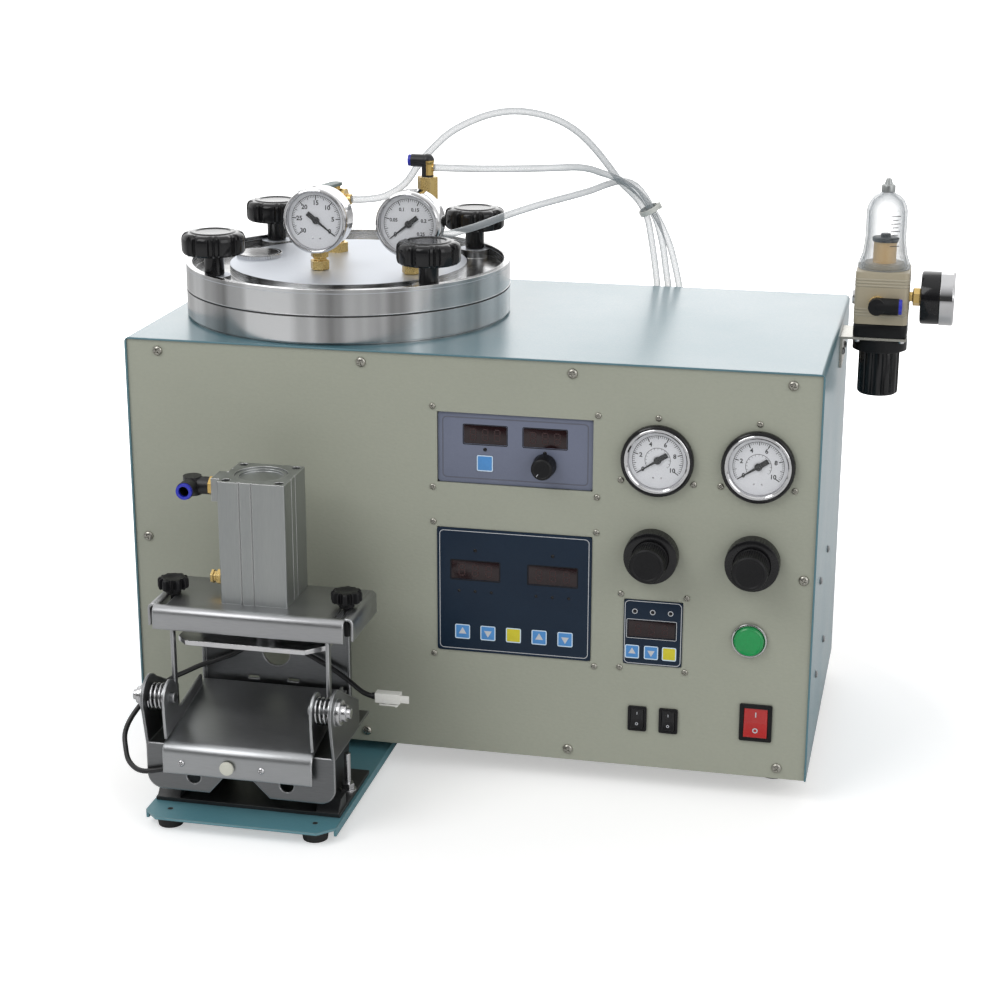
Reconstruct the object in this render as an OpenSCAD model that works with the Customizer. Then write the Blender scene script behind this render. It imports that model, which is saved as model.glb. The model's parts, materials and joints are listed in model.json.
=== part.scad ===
// Bench wax injector: a heated wax pot in a cabinet, an air-driven mould clamp
// in front of it and a filter regulator on its side.
// Lengths are millimetres. Sizes are given from the cabinet's front bottom left corner.

/* [Cabinet] */
// Width of the cabinet
cab_w = 550; // [540:1:620]
// Depth of the cabinet
cab_d = 292; // [280:1:340]
// Height of the cabinet without its feet
cab_h = 328; // [322:1:380]
// Thickness of the folded cover and chassis sheet
sheet = 1.5; // [1:0.1:2]
// Outer bend radius of the cover
bend_r = 4; // [3:0.5:6]
// Thickness of the front panel
panel_t = 2; // [1.5:0.1:3]
// Distance that the front panel sits behind the cover's edge
panel_inset = 1.5; // [1:0.1:3]
// Height of the cabinet's rubber feet
foot_h = 20; // [18:0.5:26]
// Diameter of the cabinet's rubber feet
foot_d = 26; // [20:1:32]
// Distance of the feet from the cabinet's sides
foot_inset = 30; // [18:1:38]
// Distance of the feet from the cabinet's front and back
foot_inset_y = 55; // [40:1:80]

/* [Wax pot] */
// Distance of the pot's centre from the cabinet's left side
pot_x = 145; // [142:1:160]
// Distance of the pot's centre from the cabinet's front
pot_y = 138.5; // [136:0.5:146]
// Outer diameter of the pot's flange and of the lid
ring_d = 268; // [264:1:272]
// Height of the pot's flange
flange_h = 20.5; // [16:0.5:24]
// Height of the step under the flange
step_h = 2; // [1:0.5:3]
// Outer diameter of the pot's well
well_d = 200; // [190:1:204]
// Wall of the pot's well
well_wall = 5; // [4:0.5:8]
// Depth of the well under the cabinet's top
well_depth = 200; // [170:1:206]
// Thickness of the seal between flange and lid
seal_t = 1; // [0.6:0.1:2]
// Width of the heater band
heater_h = 110; // [60:1:120]

/* [Lid] */
// Thickness of the lid at its rim
lid_h = 20.5; // [18:0.5:26]
// Width of the lid's rim
rim_w = 5; // [4:0.5:6]
// Depth of the groove between rim and disc
moat_depth = 10; // [6:0.5:12]
// Diameter of the lid's raised disc
disc_d = 196; // [188:1:198]
// Distance of the disc's top below the rim's top
disc_drop = 3; // [2:0.5:4]
// Radius of the circle that the lid's hand knobs stand on
knob_ring_r = 119.5; // [119:0.5:121]
// Diameter of the knobs' studs
stud_d = 8; // [6:1:10]
// Diameter of a hand knob
hand_knob_d = 51; // [44:1:54]
// Height of a hand knob's head
hand_knob_h = 18.5; // [14:0.5:22]
// Height of a hand knob's stem
stem_h = 17; // [12:1:22]
// Diameter of a hand knob's stem
stem_d = 16; // [13:1:18]
// Diameter of the filler cap on the disc
cap_d = 38; // [30:1:40]

/* [Gauges] */
// Diameter of the two gauges on the lid
lid_gauge_d = 53; // [48:1:56]
// Diameter of the two gauges in the front panel
panel_gauge_d = 56; // [50:1:62]
// Diameter of the filter regulator's gauge
filter_gauge_d = 44; // [38:1:46]
// Depth of a gauge's case
gauge_depth = 27; // [24:1:30]
// Wall of a gauge's case
gauge_wall = 2.5; // [2:0.1:3]

/* [Front panel] */
// Width of the pressure panel
press_w = 123; // [115:1:124]
// Height of the pressure panel
press_h = 57; // [50:1:60]
// Width of the large controller
ctrl_w = 123.7; // [115:0.1:124]
// Height of the large controller
ctrl_h = 102.9; // [90:0.1:105]
// Width of the small controller
hold_w = 46.2; // [40:0.1:46.5]
// Height of the small controller
hold_h = 53.8; // [48:0.1:56]
// Diameter of the regulator collars
collar_d = 42; // [38:1:46]
// Diameter of the regulator knobs
reg_knob_d = 28; // [24:1:32]
// Distance that the regulator knobs stand out
reg_reach = 31; // [26:1:34]
// Diameter of the green button
button_d = 23; // [20:1:24]
// Travel of the green button
button_travel = 3; // [2:0.5:3]

/* [Filter regulator] */
// Width of the filter's square body
filter_w = 43; // [40:1:46]
// Distance of the filter's centre from the cabinet's side
filter_reach = 31; // [29:1:36]
// Distance of the filter's centre behind the cabinet's front
filter_y = 190; // [150:1:230]
// Height of the filter's bracket plate
filter_z = 317; // [310:1:320]
// Diameter of the filter's adjusting knob
filter_knob_d = 33; // [28:1:36]

/* [Mould clamp] */
// Distance of the clamp's centre from the cabinet's left side
clamp_x = 134; // [132:1:137]
// Width of the base plate
base_w = 152; // [148:1:160]
// Distance that the base plate reaches in front of the cabinet
base_reach = 155; // [153:1:165]
// Travel of the clamp towards the nozzle
slide_travel = 25; // [15:1:25]
// Stroke of the press plate
press_stroke = 36; // [20:1:38]
// Width of the top bracket between its side flanges
bracket_w = 163; // [161:1:168]
// Thickness of the clamp's sheet
clamp_sheet = 2; // [1.5:0.1:2.2]
// Width of the clamp cylinder's square barrel
barrel_w = 53; // [50:1:56]
// Height of the clamp cylinder's barrel
barrel_h = 97; // [94:1:110]
// Diameter of the piston rod
rod_d = 16; // [12:1:16]
// Width of the press plate
press_plate_w = 118; // [100:1:119]
// Thickness of the press plate
press_plate_t = 4; // [3:0.5:5]
// Inside width between the tray's side walls
tray_w = 114; // [112:1:115]
// Diameter of the pivot bolts
pivot_d = 8; // [6:1:8]
// Outer diameter of the pivot springs
spring_d = 21.6; // [18:0.2:23]
// Wire diameter of the pivot springs
spring_wire = 1.8; // [1.4:0.1:2]
// Turns of a pivot spring
spring_turns = 4; // [3:1:5]

/* [Tubes and cable] */
// Outer diameter of the clear hoses
hose_d = 6; // [5:0.5:6]
// Diameter of the button cable
cable_d = 4; // [3:0.5:4]
// Bore of the fittings for the clamp's and the filter's air tube
tube_d = 8; // [6:1:8]

/* [Fits] */
// Clearance of a turning or sliding pin in its hole, on the radius
pin_gap = 0.3; // [0.1:0.05:0.4]
// Clearance between surfaces that pass each other
run_gap = 0.5; // [0.3:0.1:0.8]
// Clearance of a fixed piece in its hole, on the radius
seat_gap = 0.1; // [0.05:0.05:0.2]

/* [Hidden] */
$fn = 48;
eps = 0.01;

steel = [0.62, 0.63, 0.65];
dark_steel = [0.42, 0.43, 0.45];
brass = [0.78, 0.62, 0.28];
black = [0.08, 0.08, 0.09];
beige = [0.72, 0.71, 0.64];
teal = [0.22, 0.38, 0.45];
white = [0.92, 0.92, 0.9];
blue = [0.15, 0.2, 0.7];

panel_y = panel_inset;
panel_back = panel_inset + panel_t;
panel_w = cab_w - 2 * sheet;
panel_h = cab_h - sheet;
back_in = cab_d - sheet;

// Heights of the pot and the lid above the cabinet's bottom
flange_top = cab_h + step_h + flange_h;
lid_z = flange_top + seal_t;
rim_top = lid_z + lid_h;
disc_top = rim_top - disc_drop;
moat_z = rim_top - moat_depth;
well_bottom = cab_h - well_depth;
bore_r = well_d / 2 - well_wall;
knob_angles = [["front_left", 222], ["back_left", 138], ["front_right", 318], ["back_right", 42]];
boss_d = stem_d + 10;
stud_hole = stud_d / 2 + run_gap;

// Gauges: face centres, heights and depths
lid_gauge_y = 84.6;
lid_gauges_x = [132.5, 209.5];
lid_gauge_z = disc_top + 41.5;
panel_gauges_x = [cab_w - 123.3, cab_w - 46.8];
panel_gauge_z = 254;
gauge_screw_r = 33;
bezel_reach = 6;
panel_body_d = panel_gauge_d - 6;
lens_t = 1.5;
dial_t = 1;
needle_t = 0.5;
recess = 6.5;
arbor_d = 1.6;
hub_d = 6;

// Front panel places, kept at their distance from the cabinet's right side
press_at = [cab_w - 234.6, 253.7];
ctrl_at = [cab_w - 234.5, 137.3];
hold_at = [cab_w - 123.6, 113.6];
reg_at = [[cab_w - 125.7, 178.3], [cab_w - 48, 178.3]];
button_at = [cab_w - 48.4, 114.4];
rocker_at = [[cab_w - 134.3, 41], [cab_w - 109.6, 41]];
power_at = [cab_w - 41, 46];
rocker_size = [15, 21];
power_size = [25.5, 31];
press_knob_at = press_at + [23.6, -10.1];
press_knob_d = 18.5;
bezel_rim = 2.3;
display_size = [34, 15];
hold_display = [37, 13.5];
overlay_t = 1;

// Air sockets on the back
socket_x = [380, 390, 400];
socket_z = 304;
socket_y = cab_d + 14;
socket_d = 8;
// how far a barb ends before its hose's first ring
hose_gap = 0.4;

// Filter regulator heights
plate_t = 2;
filter_x = cab_w + filter_reach;
bonnet_h = 11;
body_z = filter_z + plate_t + bonnet_h;
body_h = 43;
bowl_z = body_z + body_h;
bowl_h = 62;
filter_gauge_z = body_z + 20;
gauge_x0 = filter_x + filter_w / 2 + 9;

// Clamp places
base_top = -8;
base_t = 2;
base_flange = 7;
base_foot_d = 22;
base_foot_h = foot_h + base_top - base_t;
slide_gap = 0.2;
slide_t = 3;
slide_top = base_top + slide_gap + slide_t;
front_y = -139;
flange_y = -147;
wall_y = -43.5;
wall_w = 122;
shelf_z = 44.5;
shelf_top = shelf_z + clamp_sheet;
frame_w = 149.5;
pivot_y = -130;
pivot_z = 81;
ear_r = 17;
bracket_z = 145;
bracket_top = bracket_z + clamp_sheet;
bracket_front = -114;
bracket_back = -41;
slot_x = 69.5;
star_y = -82;
star_stud = 5;
barrel_y = -68.5;
press_front = -112;
press_back = -57;
press_z = 117;
nozzle_z = 90;
nozzle_d = 14;
nozzle_window = 22;
cyl_rod_z = 26;
cyl_rod_d = 10;
ram_d = 32;
bore_d = 40;
tray_front_z = 49;
tray_back_z = 66;
tray_back = -52;
tray_flange_z = 26;
tray_btn = [127, 35.3];
tray_btn_d = 11;
port_z = bracket_top + barrel_h - 9;
port_y = -78;

// Routes, chosen by hand
relief_route = [[137, 178, 413.5], [148, 178, 414], [165, 180, 417], [181, 186, 427], [192, 191, 443],
    [204, 195, 457], [217, 199, 469], [233, 205, 478], [250, 212, 484], [268, 220, 486], [287, 229, 483],
    [304, 239, 476], [318, 250, 465], [330, 262, 450], [340, 274, 434], [348, 285, 420], [356, 293, 410],
    [362, 299, 402], [367, 302, 393], [371, 303, 382], [375, 304, 360], [378, 305, 340], [380, 306, 322],
    [380, 306, 313], [380, 306, 304]];
vacuum_route = [[211, 170, 444], [217, 170, 444], [228, 174, 443.5], [246, 185, 442], [277, 200, 441], [307, 220, 440],
    [318, 232, 439], [328, 245, 436], [336, 258, 431], [345, 270, 426], [354, 281, 419], [362, 290, 411],
    [369, 297, 402], [374, 300, 393], [379, 302, 382], [384, 304, 362], [387, 305, 342], [390, 306, 322],
    [390, 306, 313], [390, 306, 304]];
pressure_route = [[222, 140, 394], [227, 140, 394], [238, 147, 396], [252, 164, 399], [270, 190, 404], [291, 215, 409],
    [309, 238, 412], [326, 260, 415], [337, 277, 418], [346, 292, 419], [353, 301, 417], [360, 307, 412],
    [367, 309, 403], [373, 309, 393], [380, 309, 382], [389, 309, 363], [395, 308, 343], [400, 306, 322],
    [400, 306, 313], [400, 306, 304]];
cable_route = [[117, -142.5, 34], [111, -142.5, 34], [104, -142.5, 34], [90, -142.5, 31], [78, -142.5, 28],
    [67, -142.2, 25], [57, -141.5, 23], [48, -137, 23], [40, -130, 26], [35, -122, 32], [32, -115, 40],
    [34, -109, 49], [39, -99, 58], [46, -86, 66], [55, -71, 71], [64, -62, 74], [74, -56, 78], [86, -52, 82],
    [100, -51.5, 88], [113, -51.5, 96], [124, -51.5, 101], [136, -51.5, 102], [148, -51.5, 99],
    [160, -51.5, 94], [172, -51.5, 88], [182, -51.7, 82.5], [190, -53.4, 78.5], [198, -57.6, 75.5],
    [205, -62.8, 73.3], [211.5, -67.4, 71.8], [218, -70, 71], [222, -70, 71]];

// The origin lies under the centre of the machine, hoses and cable left out
flange_left = clamp_x - bracket_w / 2;
x_min = 0;
x_max = gauge_x0 + gauge_depth;
y_min = -base_reach;
y_max = socket_y + socket_d / 2;
origin_x = (x_min + x_max) / 2;
origin_y = (y_min + y_max) / 2;

module place() {
    translate([-origin_x, -origin_y, foot_h]) children();
}

// Local z points out of the front panel, local x to the right and local y up
module on_front(at, y = panel_y) {
    translate([at[0], y, at[1]]) rotate([90, 0, 0]) children();
}

// A cylinder along X between two places
module x_rod(x0, x1, y, z, d) {
    translate([x0, y, z]) rotate([0, 90, 0]) cylinder(d = d, h = x1 - x0);
}

// A cylinder along Y between two places
module y_rod(y0, y1, x, z, d) {
    translate([x, y1, z]) rotate([90, 0, 0]) cylinder(d = d, h = y1 - y0);
}

module box(x, y, z) {
    translate([x[0], y[0], z[0]]) cube([x[1] - x[0], y[1] - y[0], z[1] - z[0]]);
}

// A rectangle about its centre with round corners
module round_rect(w, h, r) {
    square([w - 2 * r, h], center = true);
    square([w, h - 2 * r], center = true);
    for (x = [-1, 1], y = [-1, 1])
        translate([x * (w / 2 - r), y * (h / 2 - r)]) circle(r);
}

module pan_screw(head_d, head_h, shank_d, length) {
    cylinder(d = head_d, h = head_h * 0.5);
    translate([0, 0, head_h * 0.5]) cylinder(d1 = head_d, d2 = head_d * 0.6, h = head_h * 0.5);
    translate([0, 0, -length]) cylinder(d = shank_d, h = length + eps);
}

module hex(af, h) {
    cylinder(d = af / cos(30), h = h, $fn = 6);
}

// One tube of even section along a route, as a single closed mesh
function unit(v) = v / norm(v);
function tangent(r, i) = unit(r[min(i + 1, len(r) - 1)] - r[max(i - 1, 0)]);
function side_of(t) = unit(cross(t, abs(t[2]) > 0.9 ? [1, 0, 0] : [0, 0, 1]));
// Each ring's side vector is the last one's, laid square to the new tangent
function frames(r, i = 0, s = undef) =
    let (t = tangent(r, i), n = i == 0 ? side_of(t) : unit(s - (s * t) * t))
    i == len(r) - 1 ? [n] : concat([n], frames(r, i + 1, n));
module sweep(route, d, sides) {
    side = frames(route);
    points = [for (i = [0 : len(route) - 1])
        let (t = tangent(route, i), n = side[i], b = cross(t, n))
        for (k = [0 : sides - 1])
            route[i] + d / 2 * (cos(360 * k / sides) * n + sin(360 * k / sides) * b)];
    walls = [for (i = [0 : len(route) - 2], k = [0 : sides - 1])
        let (a = i * sides + k, b = i * sides + (k + 1) % sides)
        each [[a, a + sides, b + sides], [a, b + sides, b]]];
    ends = [[for (k = [0 : sides - 1]) k], [for (k = [sides - 1 : -1 : 0]) (len(route) - 1) * sides + k]];
    polyhedron(points, concat(walls, ends), convexity = 10);
}
// Smooth points through the chosen ones
function spline(p, steps) = [for (i = [0 : len(p) - 2], k = [0 : steps - 1])
    let (t = k / steps, a = p[max(i - 1, 0)], b = p[i], c = p[i + 1], e = p[min(i + 2, len(p) - 1)])
    0.5 * (2 * b + (c - a) * t + (2 * a - 5 * b + 4 * c - e) * t * t + (3 * b - a - 3 * c + e) * t * t * t)];
function smooth(p, steps) = concat(spline(p, steps), [p[len(p) - 1]]);

// ---- Cabinet ----

module cover() {
    color(teal) place() difference() {
        translate([0, cab_d, 0]) rotate([90, 0, 0]) linear_extrude(cab_d) difference() {
            union() {
                square([cab_w, cab_h - bend_r]);
                translate([bend_r, 0]) square([cab_w - 2 * bend_r, cab_h]);
                for (x = [bend_r, cab_w - bend_r]) translate([x, cab_h - bend_r]) circle(bend_r);
            }
            translate([sheet, -eps]) square([cab_w - 2 * sheet, cab_h - sheet + eps]);
        }
        translate([pot_x, pot_y, cab_h - 2 * sheet]) cylinder(d = well_d + 2 * run_gap, h = 3 * sheet);
        for (p = side_screws()) x_rod(cab_w - 2 * sheet, cab_w + sheet, p[0], p[1], 3.2 + 2 * seat_gap);
    }
}

function side_screws() = concat([for (y = [58, 138], z = [68, 147]) [y, z]],
    [for (y = filter_screw_y()) [y, filter_screw_z()]]);
function filter_screw_y() = [filter_y - 12, filter_y + 12];
function filter_screw_z() = filter_z - 12;

function main_screws() = concat(
    [for (i = [0 : 3], z = [9, cab_h - 10]) [27.2 + i * (cab_w - 50.5) / 3, z]],
    [[12, 163], [cab_w - 9, 166]]);
function corner_screws(at, w, h) = [for (x = [-1, 1], z = [-1, 1]) [at[0] + x * w / 2, at[1] + z * h / 2]];
function gauge_screws() = [for (x = panel_gauges_x, a = [90, 212, 328])
    [x + gauge_screw_r * cos(a), panel_gauge_z + gauge_screw_r * sin(a)]];
function module_screws() = concat(corner_screws(press_at, press_w + 7, press_h + 8),
    corner_screws(ctrl_at, ctrl_w + 6, ctrl_h + 8), corner_screws(hold_at, hold_w + 5.4, hold_h + 7.6),
    gauge_screws());

module front_panel() {
    color(beige) place() difference() {
        box([sheet, cab_w - sheet], [panel_y, panel_back], [0, panel_h]);
        translate([0, panel_back, 0]) rotate([90, 0, 0]) translate([0, 0, -eps])
            linear_extrude(panel_t + 2 * eps) {
                for (s = main_screws()) translate(s) circle(d = 4 + 2 * seat_gap);
                for (s = module_screws()) translate(s) circle(d = 2.6 + 2 * seat_gap);
                for (x = panel_gauges_x) translate([x, panel_gauge_z]) circle(d = panel_body_d + 2 * seat_gap);
                translate(press_at) square([press_w, press_h], center = true);
                translate(ctrl_at) square([ctrl_w, ctrl_h], center = true);
                translate(hold_at) square([hold_w, hold_h], center = true);
                for (p = reg_at) translate(p) circle(d = 20);
                translate(button_at) circle(d = button_d - 1);
                for (p = rocker_at) translate(p) square([rocker_size[0] - 2, rocker_size[1] - 2], center = true);
                translate(power_at) square([power_size[0] - 2, power_size[1] - 2], center = true);
                translate([clamp_x, nozzle_z]) circle(d = nozzle_window);
                translate([clamp_x, cyl_rod_z]) circle(d = cyl_rod_d + 4 * run_gap);
            }
    }
}

inlet_at = [470, 60];
inlet_size = [34, 27];
inlet_hole = [24, 16.5];

module chassis() {
    color(steel) place() difference() {
        union() {
            box([sheet, cab_w - sheet], [panel_back, cab_d], [0, sheet]);
            box([sheet, cab_w - sheet], [back_in, cab_d], [0, panel_h]);
        }
        for (x = [60 : 12 : 180], z = [60, 100])
            translate([x, back_in - 1, z]) cube([5, sheet + 2, 30]);
        translate([inlet_at[0], cab_d + 1, inlet_at[1]]) rotate([90, 0, 0])
            linear_extrude(sheet + 2) square(inlet_hole + [4, 4.4], center = true);
        for (x = socket_x) y_rod(back_in - 1, cab_d + 1, x, socket_z - 14, socket_d - 2 + 2 * seat_gap);
        for (p = feet_at()) translate([p[0], p[1], -1]) cylinder(d = 4 + 2 * seat_gap, h = sheet + 2);
    }
}

function feet_at() = [for (x = [foot_inset, cab_w - foot_inset], y = [foot_inset_y, cab_d - foot_inset_y]) [x, y]];
base_feet_x = [clamp_x - 58, clamp_x + 58];
base_back = 60;
function base_feet() = [for (x = base_feet_x, y = [17 - base_reach, base_back - 15]) [x, y]];

module rubber_foot(d, h, pin_d, pin_h) {
    difference() {
        translate([0, 0, -h]) cylinder(d1 = d - 3, d2 = d, h = h);
        translate([0, 0, -h - eps]) cylinder(d = d * 0.35, h = h * 0.4);
    }
    translate([0, 0, -eps]) cylinder(d = pin_d, h = pin_h);
}

module rubber_feet() {
    color(black) place() {
        for (p = feet_at()) translate([p[0], p[1], 0]) rubber_foot(foot_d, foot_h, 4, sheet + 1);
        for (p = base_feet()) translate([p[0], p[1], base_top - base_t])
            rubber_foot(base_foot_d, base_foot_h, 4, base_t);
    }
}

module screws() {
    color(steel) place() {
        for (s = main_screws()) on_front(s) pan_screw(8, 2.4, 4, panel_t + 2);
        for (s = module_screws()) on_front(s) pan_screw(5, 1.6, 2.6, panel_t + 4);
        for (p = side_screws()) {
            bracketed = p[1] == filter_screw_z();
            translate([cab_w + (bracketed ? plate_t : 0), p[0], p[1]]) rotate([0, 90, 0])
                pan_screw(6, 2, 3.2, sheet + 2 + (bracketed ? plate_t : 0));
        }
    }
}

// ---- Wax pot ----

module at_pot(z = 0) {
    place() translate([pot_x, pot_y, z]) children();
}

outlet_at = [clamp_x, pot_y - bore_r + 22];

module wax_pot() {
    ring_r = ring_d / 2;
    color(steel) {
        difference() {
            at_pot() rotate_extrude($fn = 96) polygon([[bore_r, well_bottom + 6], [bore_r, flange_top],
                [ring_r, flange_top], [ring_r, cab_h + step_h], [ring_r - 3, cab_h + step_h],
                [ring_r - 3, cab_h], [well_d / 2, cab_h], [well_d / 2, well_bottom], [0, well_bottom],
                [0, well_bottom + 6]]);
            for (k = knob_angles) at_pot(flange_top - 18) rotate(k[1]) translate([knob_ring_r, 0, 0])
                cylinder(r = stud_hole, h = 19);
            place() translate([outlet_at[0], outlet_at[1], well_bottom - 1]) cylinder(d = 12, h = 8);
        }
    }
    color(black) at_pot(flange_top - eps) difference() {
        cylinder(r = knob_ring_r - stud_hole - 2, h = seal_t + eps);
        translate([0, 0, -eps]) cylinder(r = bore_r + 2, h = seal_t + 3 * eps);
    }
}

module pot_heater() {
    band_t = 3;
    color(brass) at_pot(well_bottom + 20) difference() {
        cylinder(r = well_d / 2 + 0.2 + band_t, h = heater_h);
        translate([0, 0, -eps]) cylinder(r = well_d / 2 + 0.2, h = heater_h + 2 * eps);
        translate([0, -4, -1]) cube([well_d, 8, heater_h + 2]);
    }
}

module nozzle() {
    block = [44, 44];
    color(brass) place() difference() {
        union() {
            box([clamp_x - block[0] / 2, clamp_x + block[0] / 2],
                [outlet_at[1] - block[1] / 2, outlet_at[1] + block[1] / 2], [nozzle_z - 18, well_bottom]);
            y_rod(-6, outlet_at[1] - block[1] / 2 + eps, clamp_x, nozzle_z, nozzle_d);
            translate([clamp_x, -6 + eps, nozzle_z]) rotate([90, 0, 0]) cylinder(d1 = nozzle_d, d2 = 6, h = 16);
        }
        y_rod(-30, outlet_at[1], clamp_x, nozzle_z, 3);
        translate([outlet_at[0], outlet_at[1], nozzle_z - 2]) cylinder(d = 10, h = well_bottom);
    }
}

// ---- Inside the cabinet ----

module control_unit() {
    supply = [330, 120, sheet];
    board = [330, 20, sheet];
    color(steel) place() difference() {
        translate(supply) cube([160, 100, 48]);
        for (i = [0 : 7]) translate(supply + [12 + i * 18, -1, 12]) cube([8, 4, 24]);
    }
    color("darkgreen") place() difference() {
        translate(board + [0, 0, 8]) cube([120, 80, 1.6]);
        for (x = [6, 114], y = [6, 74]) translate(board + [x, y, 7]) cylinder(d = 3 + 2 * seat_gap, h = 4);
    }
    color(white) place() for (x = [6, 114], y = [6, 74]) translate(board + [x, y, 0]) {
        cylinder(d = 7, h = 8);
        cylinder(d = 3, h = 11);
    }
    color(black) place() difference() {
        union() {
            translate([inlet_at[0], cab_d + 3, inlet_at[1]]) rotate([90, 0, 0])
                linear_extrude(3) round_rect(inlet_size[0], inlet_size[1], 3);
            translate([inlet_at[0], cab_d + eps, inlet_at[1]]) rotate([90, 0, 0])
                linear_extrude(22) square(inlet_hole + [3.6, 4], center = true);
        }
        translate([inlet_at[0], cab_d + 4, inlet_at[1]]) rotate([90, 0, 0])
            linear_extrude(19) square(inlet_hole, center = true);
    }
}

module air_valves() {
    color(steel) place() {
        box([230, 310], [200, 240], [sheet, sheet + 20]);
        for (i = [0 : 2]) box([234 + i * 26, 254 + i * 26], [205, 235], [sheet + 20, sheet + 52]);
    }
    color(brass) place() for (x = socket_x) {
        y_rod(back_in - 8, socket_y, x, socket_z - 14, socket_d - 2);
        translate([x, socket_y, socket_z - 19]) difference() {
            cylinder(d = socket_d, h = 19);
            translate([0, 0, 10]) cylinder(d = 3, h = 10);
        }
        translate([x, cab_d + 4, socket_z - 14]) rotate([90, 0, 0]) hex(8.4, 4);
    }
}

module forward_cylinder() {
    ram_end = 112;
    color(steel) place() difference() {
        union() {
            y_rod(8, ram_end, clamp_x, cyl_rod_z, ram_d);
            for (y = [8, ram_end - 14])
                box([clamp_x - 18, clamp_x + 18], [y, y + 14], [sheet, cyl_rod_z + 18]);
        }
        y_rod(7, ram_end - 10, clamp_x, cyl_rod_z, cyl_rod_d + 2 * pin_gap);
    }
}

// ---- Gauges: local z points out of the face, the face centre is the origin ----

module gauge_case(d, depth, bezel_d) {
    inner = d / 2 - gauge_wall;
    difference() {
        union() {
            translate([0, 0, -depth]) cylinder(d = d, h = depth);
            translate([0, 0, -bezel_reach]) cylinder(d = bezel_d, h = bezel_reach);
        }
        translate([0, 0, -recess]) cylinder(r = inner, h = recess + eps);
        translate([0, 0, -recess - 2]) cylinder(d = arbor_d + 2 * pin_gap, h = 3);
    }
}

module gauge_dial(d) {
    translate([0, 0, -recess]) difference() {
        cylinder(r = d / 2 - gauge_wall - seat_gap, h = dial_t);
        translate([0, 0, -eps]) cylinder(d = arbor_d + 2 * pin_gap, h = 2 * dial_t);
    }
}

module gauge_lens(d) {
    translate([0, 0, -lens_t - 0.5]) cylinder(r = d / 2 - gauge_wall - seat_gap, h = lens_t);
}

// The pointer lies at the angle, its broad tail opposite
module gauge_needle(d, angle) {
    reach = d / 2 - gauge_wall - 4;
    color(black) translate([0, 0, -recess + dial_t + run_gap]) {
        cylinder(d = hub_d, h = needle_t * 2);
        translate([0, 0, -dial_t - run_gap - 1]) cylinder(d = arbor_d, h = dial_t + run_gap + 1 + eps);
        rotate(angle) linear_extrude(needle_t) {
            polygon([[0, 0.7], [reach, 0.15], [reach, -0.15], [0, -0.7]]);
            polygon([[0, 1.1], [-reach * 0.45, 1.5], [-reach * 0.45, -1.5], [0, -1.1]]);
        }
    }
}

module at_panel_gauge(i) {
    place() on_front([panel_gauges_x[i], panel_gauge_z], panel_y - bezel_reach) children();
}

module at_lid_gauge(i) {
    place() on_front([lid_gauges_x[i], lid_gauge_z], lid_gauge_y) children();
}

module at_filter_gauge() {
    place() translate([gauge_x0 + gauge_depth, filter_y, filter_gauge_z]) rotate([90, 0, 90]) children();
}

module panel_gauges() {
    for (i = [0, 1]) {
        color(black) at_panel_gauge(i) gauge_case(panel_body_d, gauge_depth, panel_gauge_d);
        color(white) at_panel_gauge(i) gauge_dial(panel_body_d);
        color("lightcyan") at_panel_gauge(i) gauge_lens(panel_body_d);
        color(brass) at_panel_gauge(i) translate([0, 0, -gauge_depth - 12]) hex(12, 12);
    }
}

module lid_gauges() {
    for (i = [0, 1]) {
        color(steel) at_lid_gauge(i) gauge_case(lid_gauge_d - 1, gauge_depth, lid_gauge_d);
        color(white) at_lid_gauge(i) gauge_dial(lid_gauge_d - 1);
        color("lightcyan") at_lid_gauge(i) gauge_lens(lid_gauge_d - 1);
        color(brass) place() difference() {
            translate([lid_gauges_x[i], lid_gauge_y + gauge_depth / 2, disc_top])
                rotate(30) hex(14, lid_gauge_z - disc_top - lid_gauge_d / 2 + 6);
            y_rod(lid_gauge_y - 1, lid_gauge_y + gauge_depth + 1, lid_gauges_x[i], lid_gauge_z, lid_gauge_d);
        }
    }
}

module filter_gauge() {
    color(black) at_filter_gauge() gauge_case(filter_gauge_d - 1, gauge_depth, filter_gauge_d);
    color(white) at_filter_gauge() gauge_dial(filter_gauge_d - 1);
    color("lightcyan") at_filter_gauge() gauge_lens(filter_gauge_d - 1);
    color(brass) place() {
        translate([gauge_x0 - 6, filter_y, filter_gauge_z]) rotate([0, 90, 0]) hex(13, 6);
        x_rod(filter_x + filter_w / 2, gauge_x0 - 6 + eps, filter_y, filter_gauge_z, 8);
    }
}

module forward_needle() { at_panel_gauge(0) gauge_needle(panel_body_d, 214); }
module clamp_needle() { at_panel_gauge(1) gauge_needle(panel_body_d, 214); }
module filter_needle() { at_filter_gauge() gauge_needle(filter_gauge_d, 225); }
module vacuum_needle() { at_lid_gauge(0) gauge_needle(lid_gauge_d, 322); }
module pot_needle() { at_lid_gauge(1) gauge_needle(lid_gauge_d, 218); }

// ---- Front panel fittings ----

module overlay(at, w, h, windows, window_size) {
    on_front(at, panel_back) difference() {
        union() {
            linear_extrude(panel_t + overlay_t) square([w - 2 * seat_gap, h - 2 * seat_gap], center = true);
            translate([0, 0, -18]) linear_extrude(18 + eps) square([w - 4, h - 4], center = true);
        }
        translate([0, 0, -16]) linear_extrude(16) square([w - 8, h - 8], center = true);
        for (p = windows) translate([p[0], p[1], -1])
            linear_extrude(panel_t + overlay_t + 2) square(window_size, center = true);
    }
}

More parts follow.
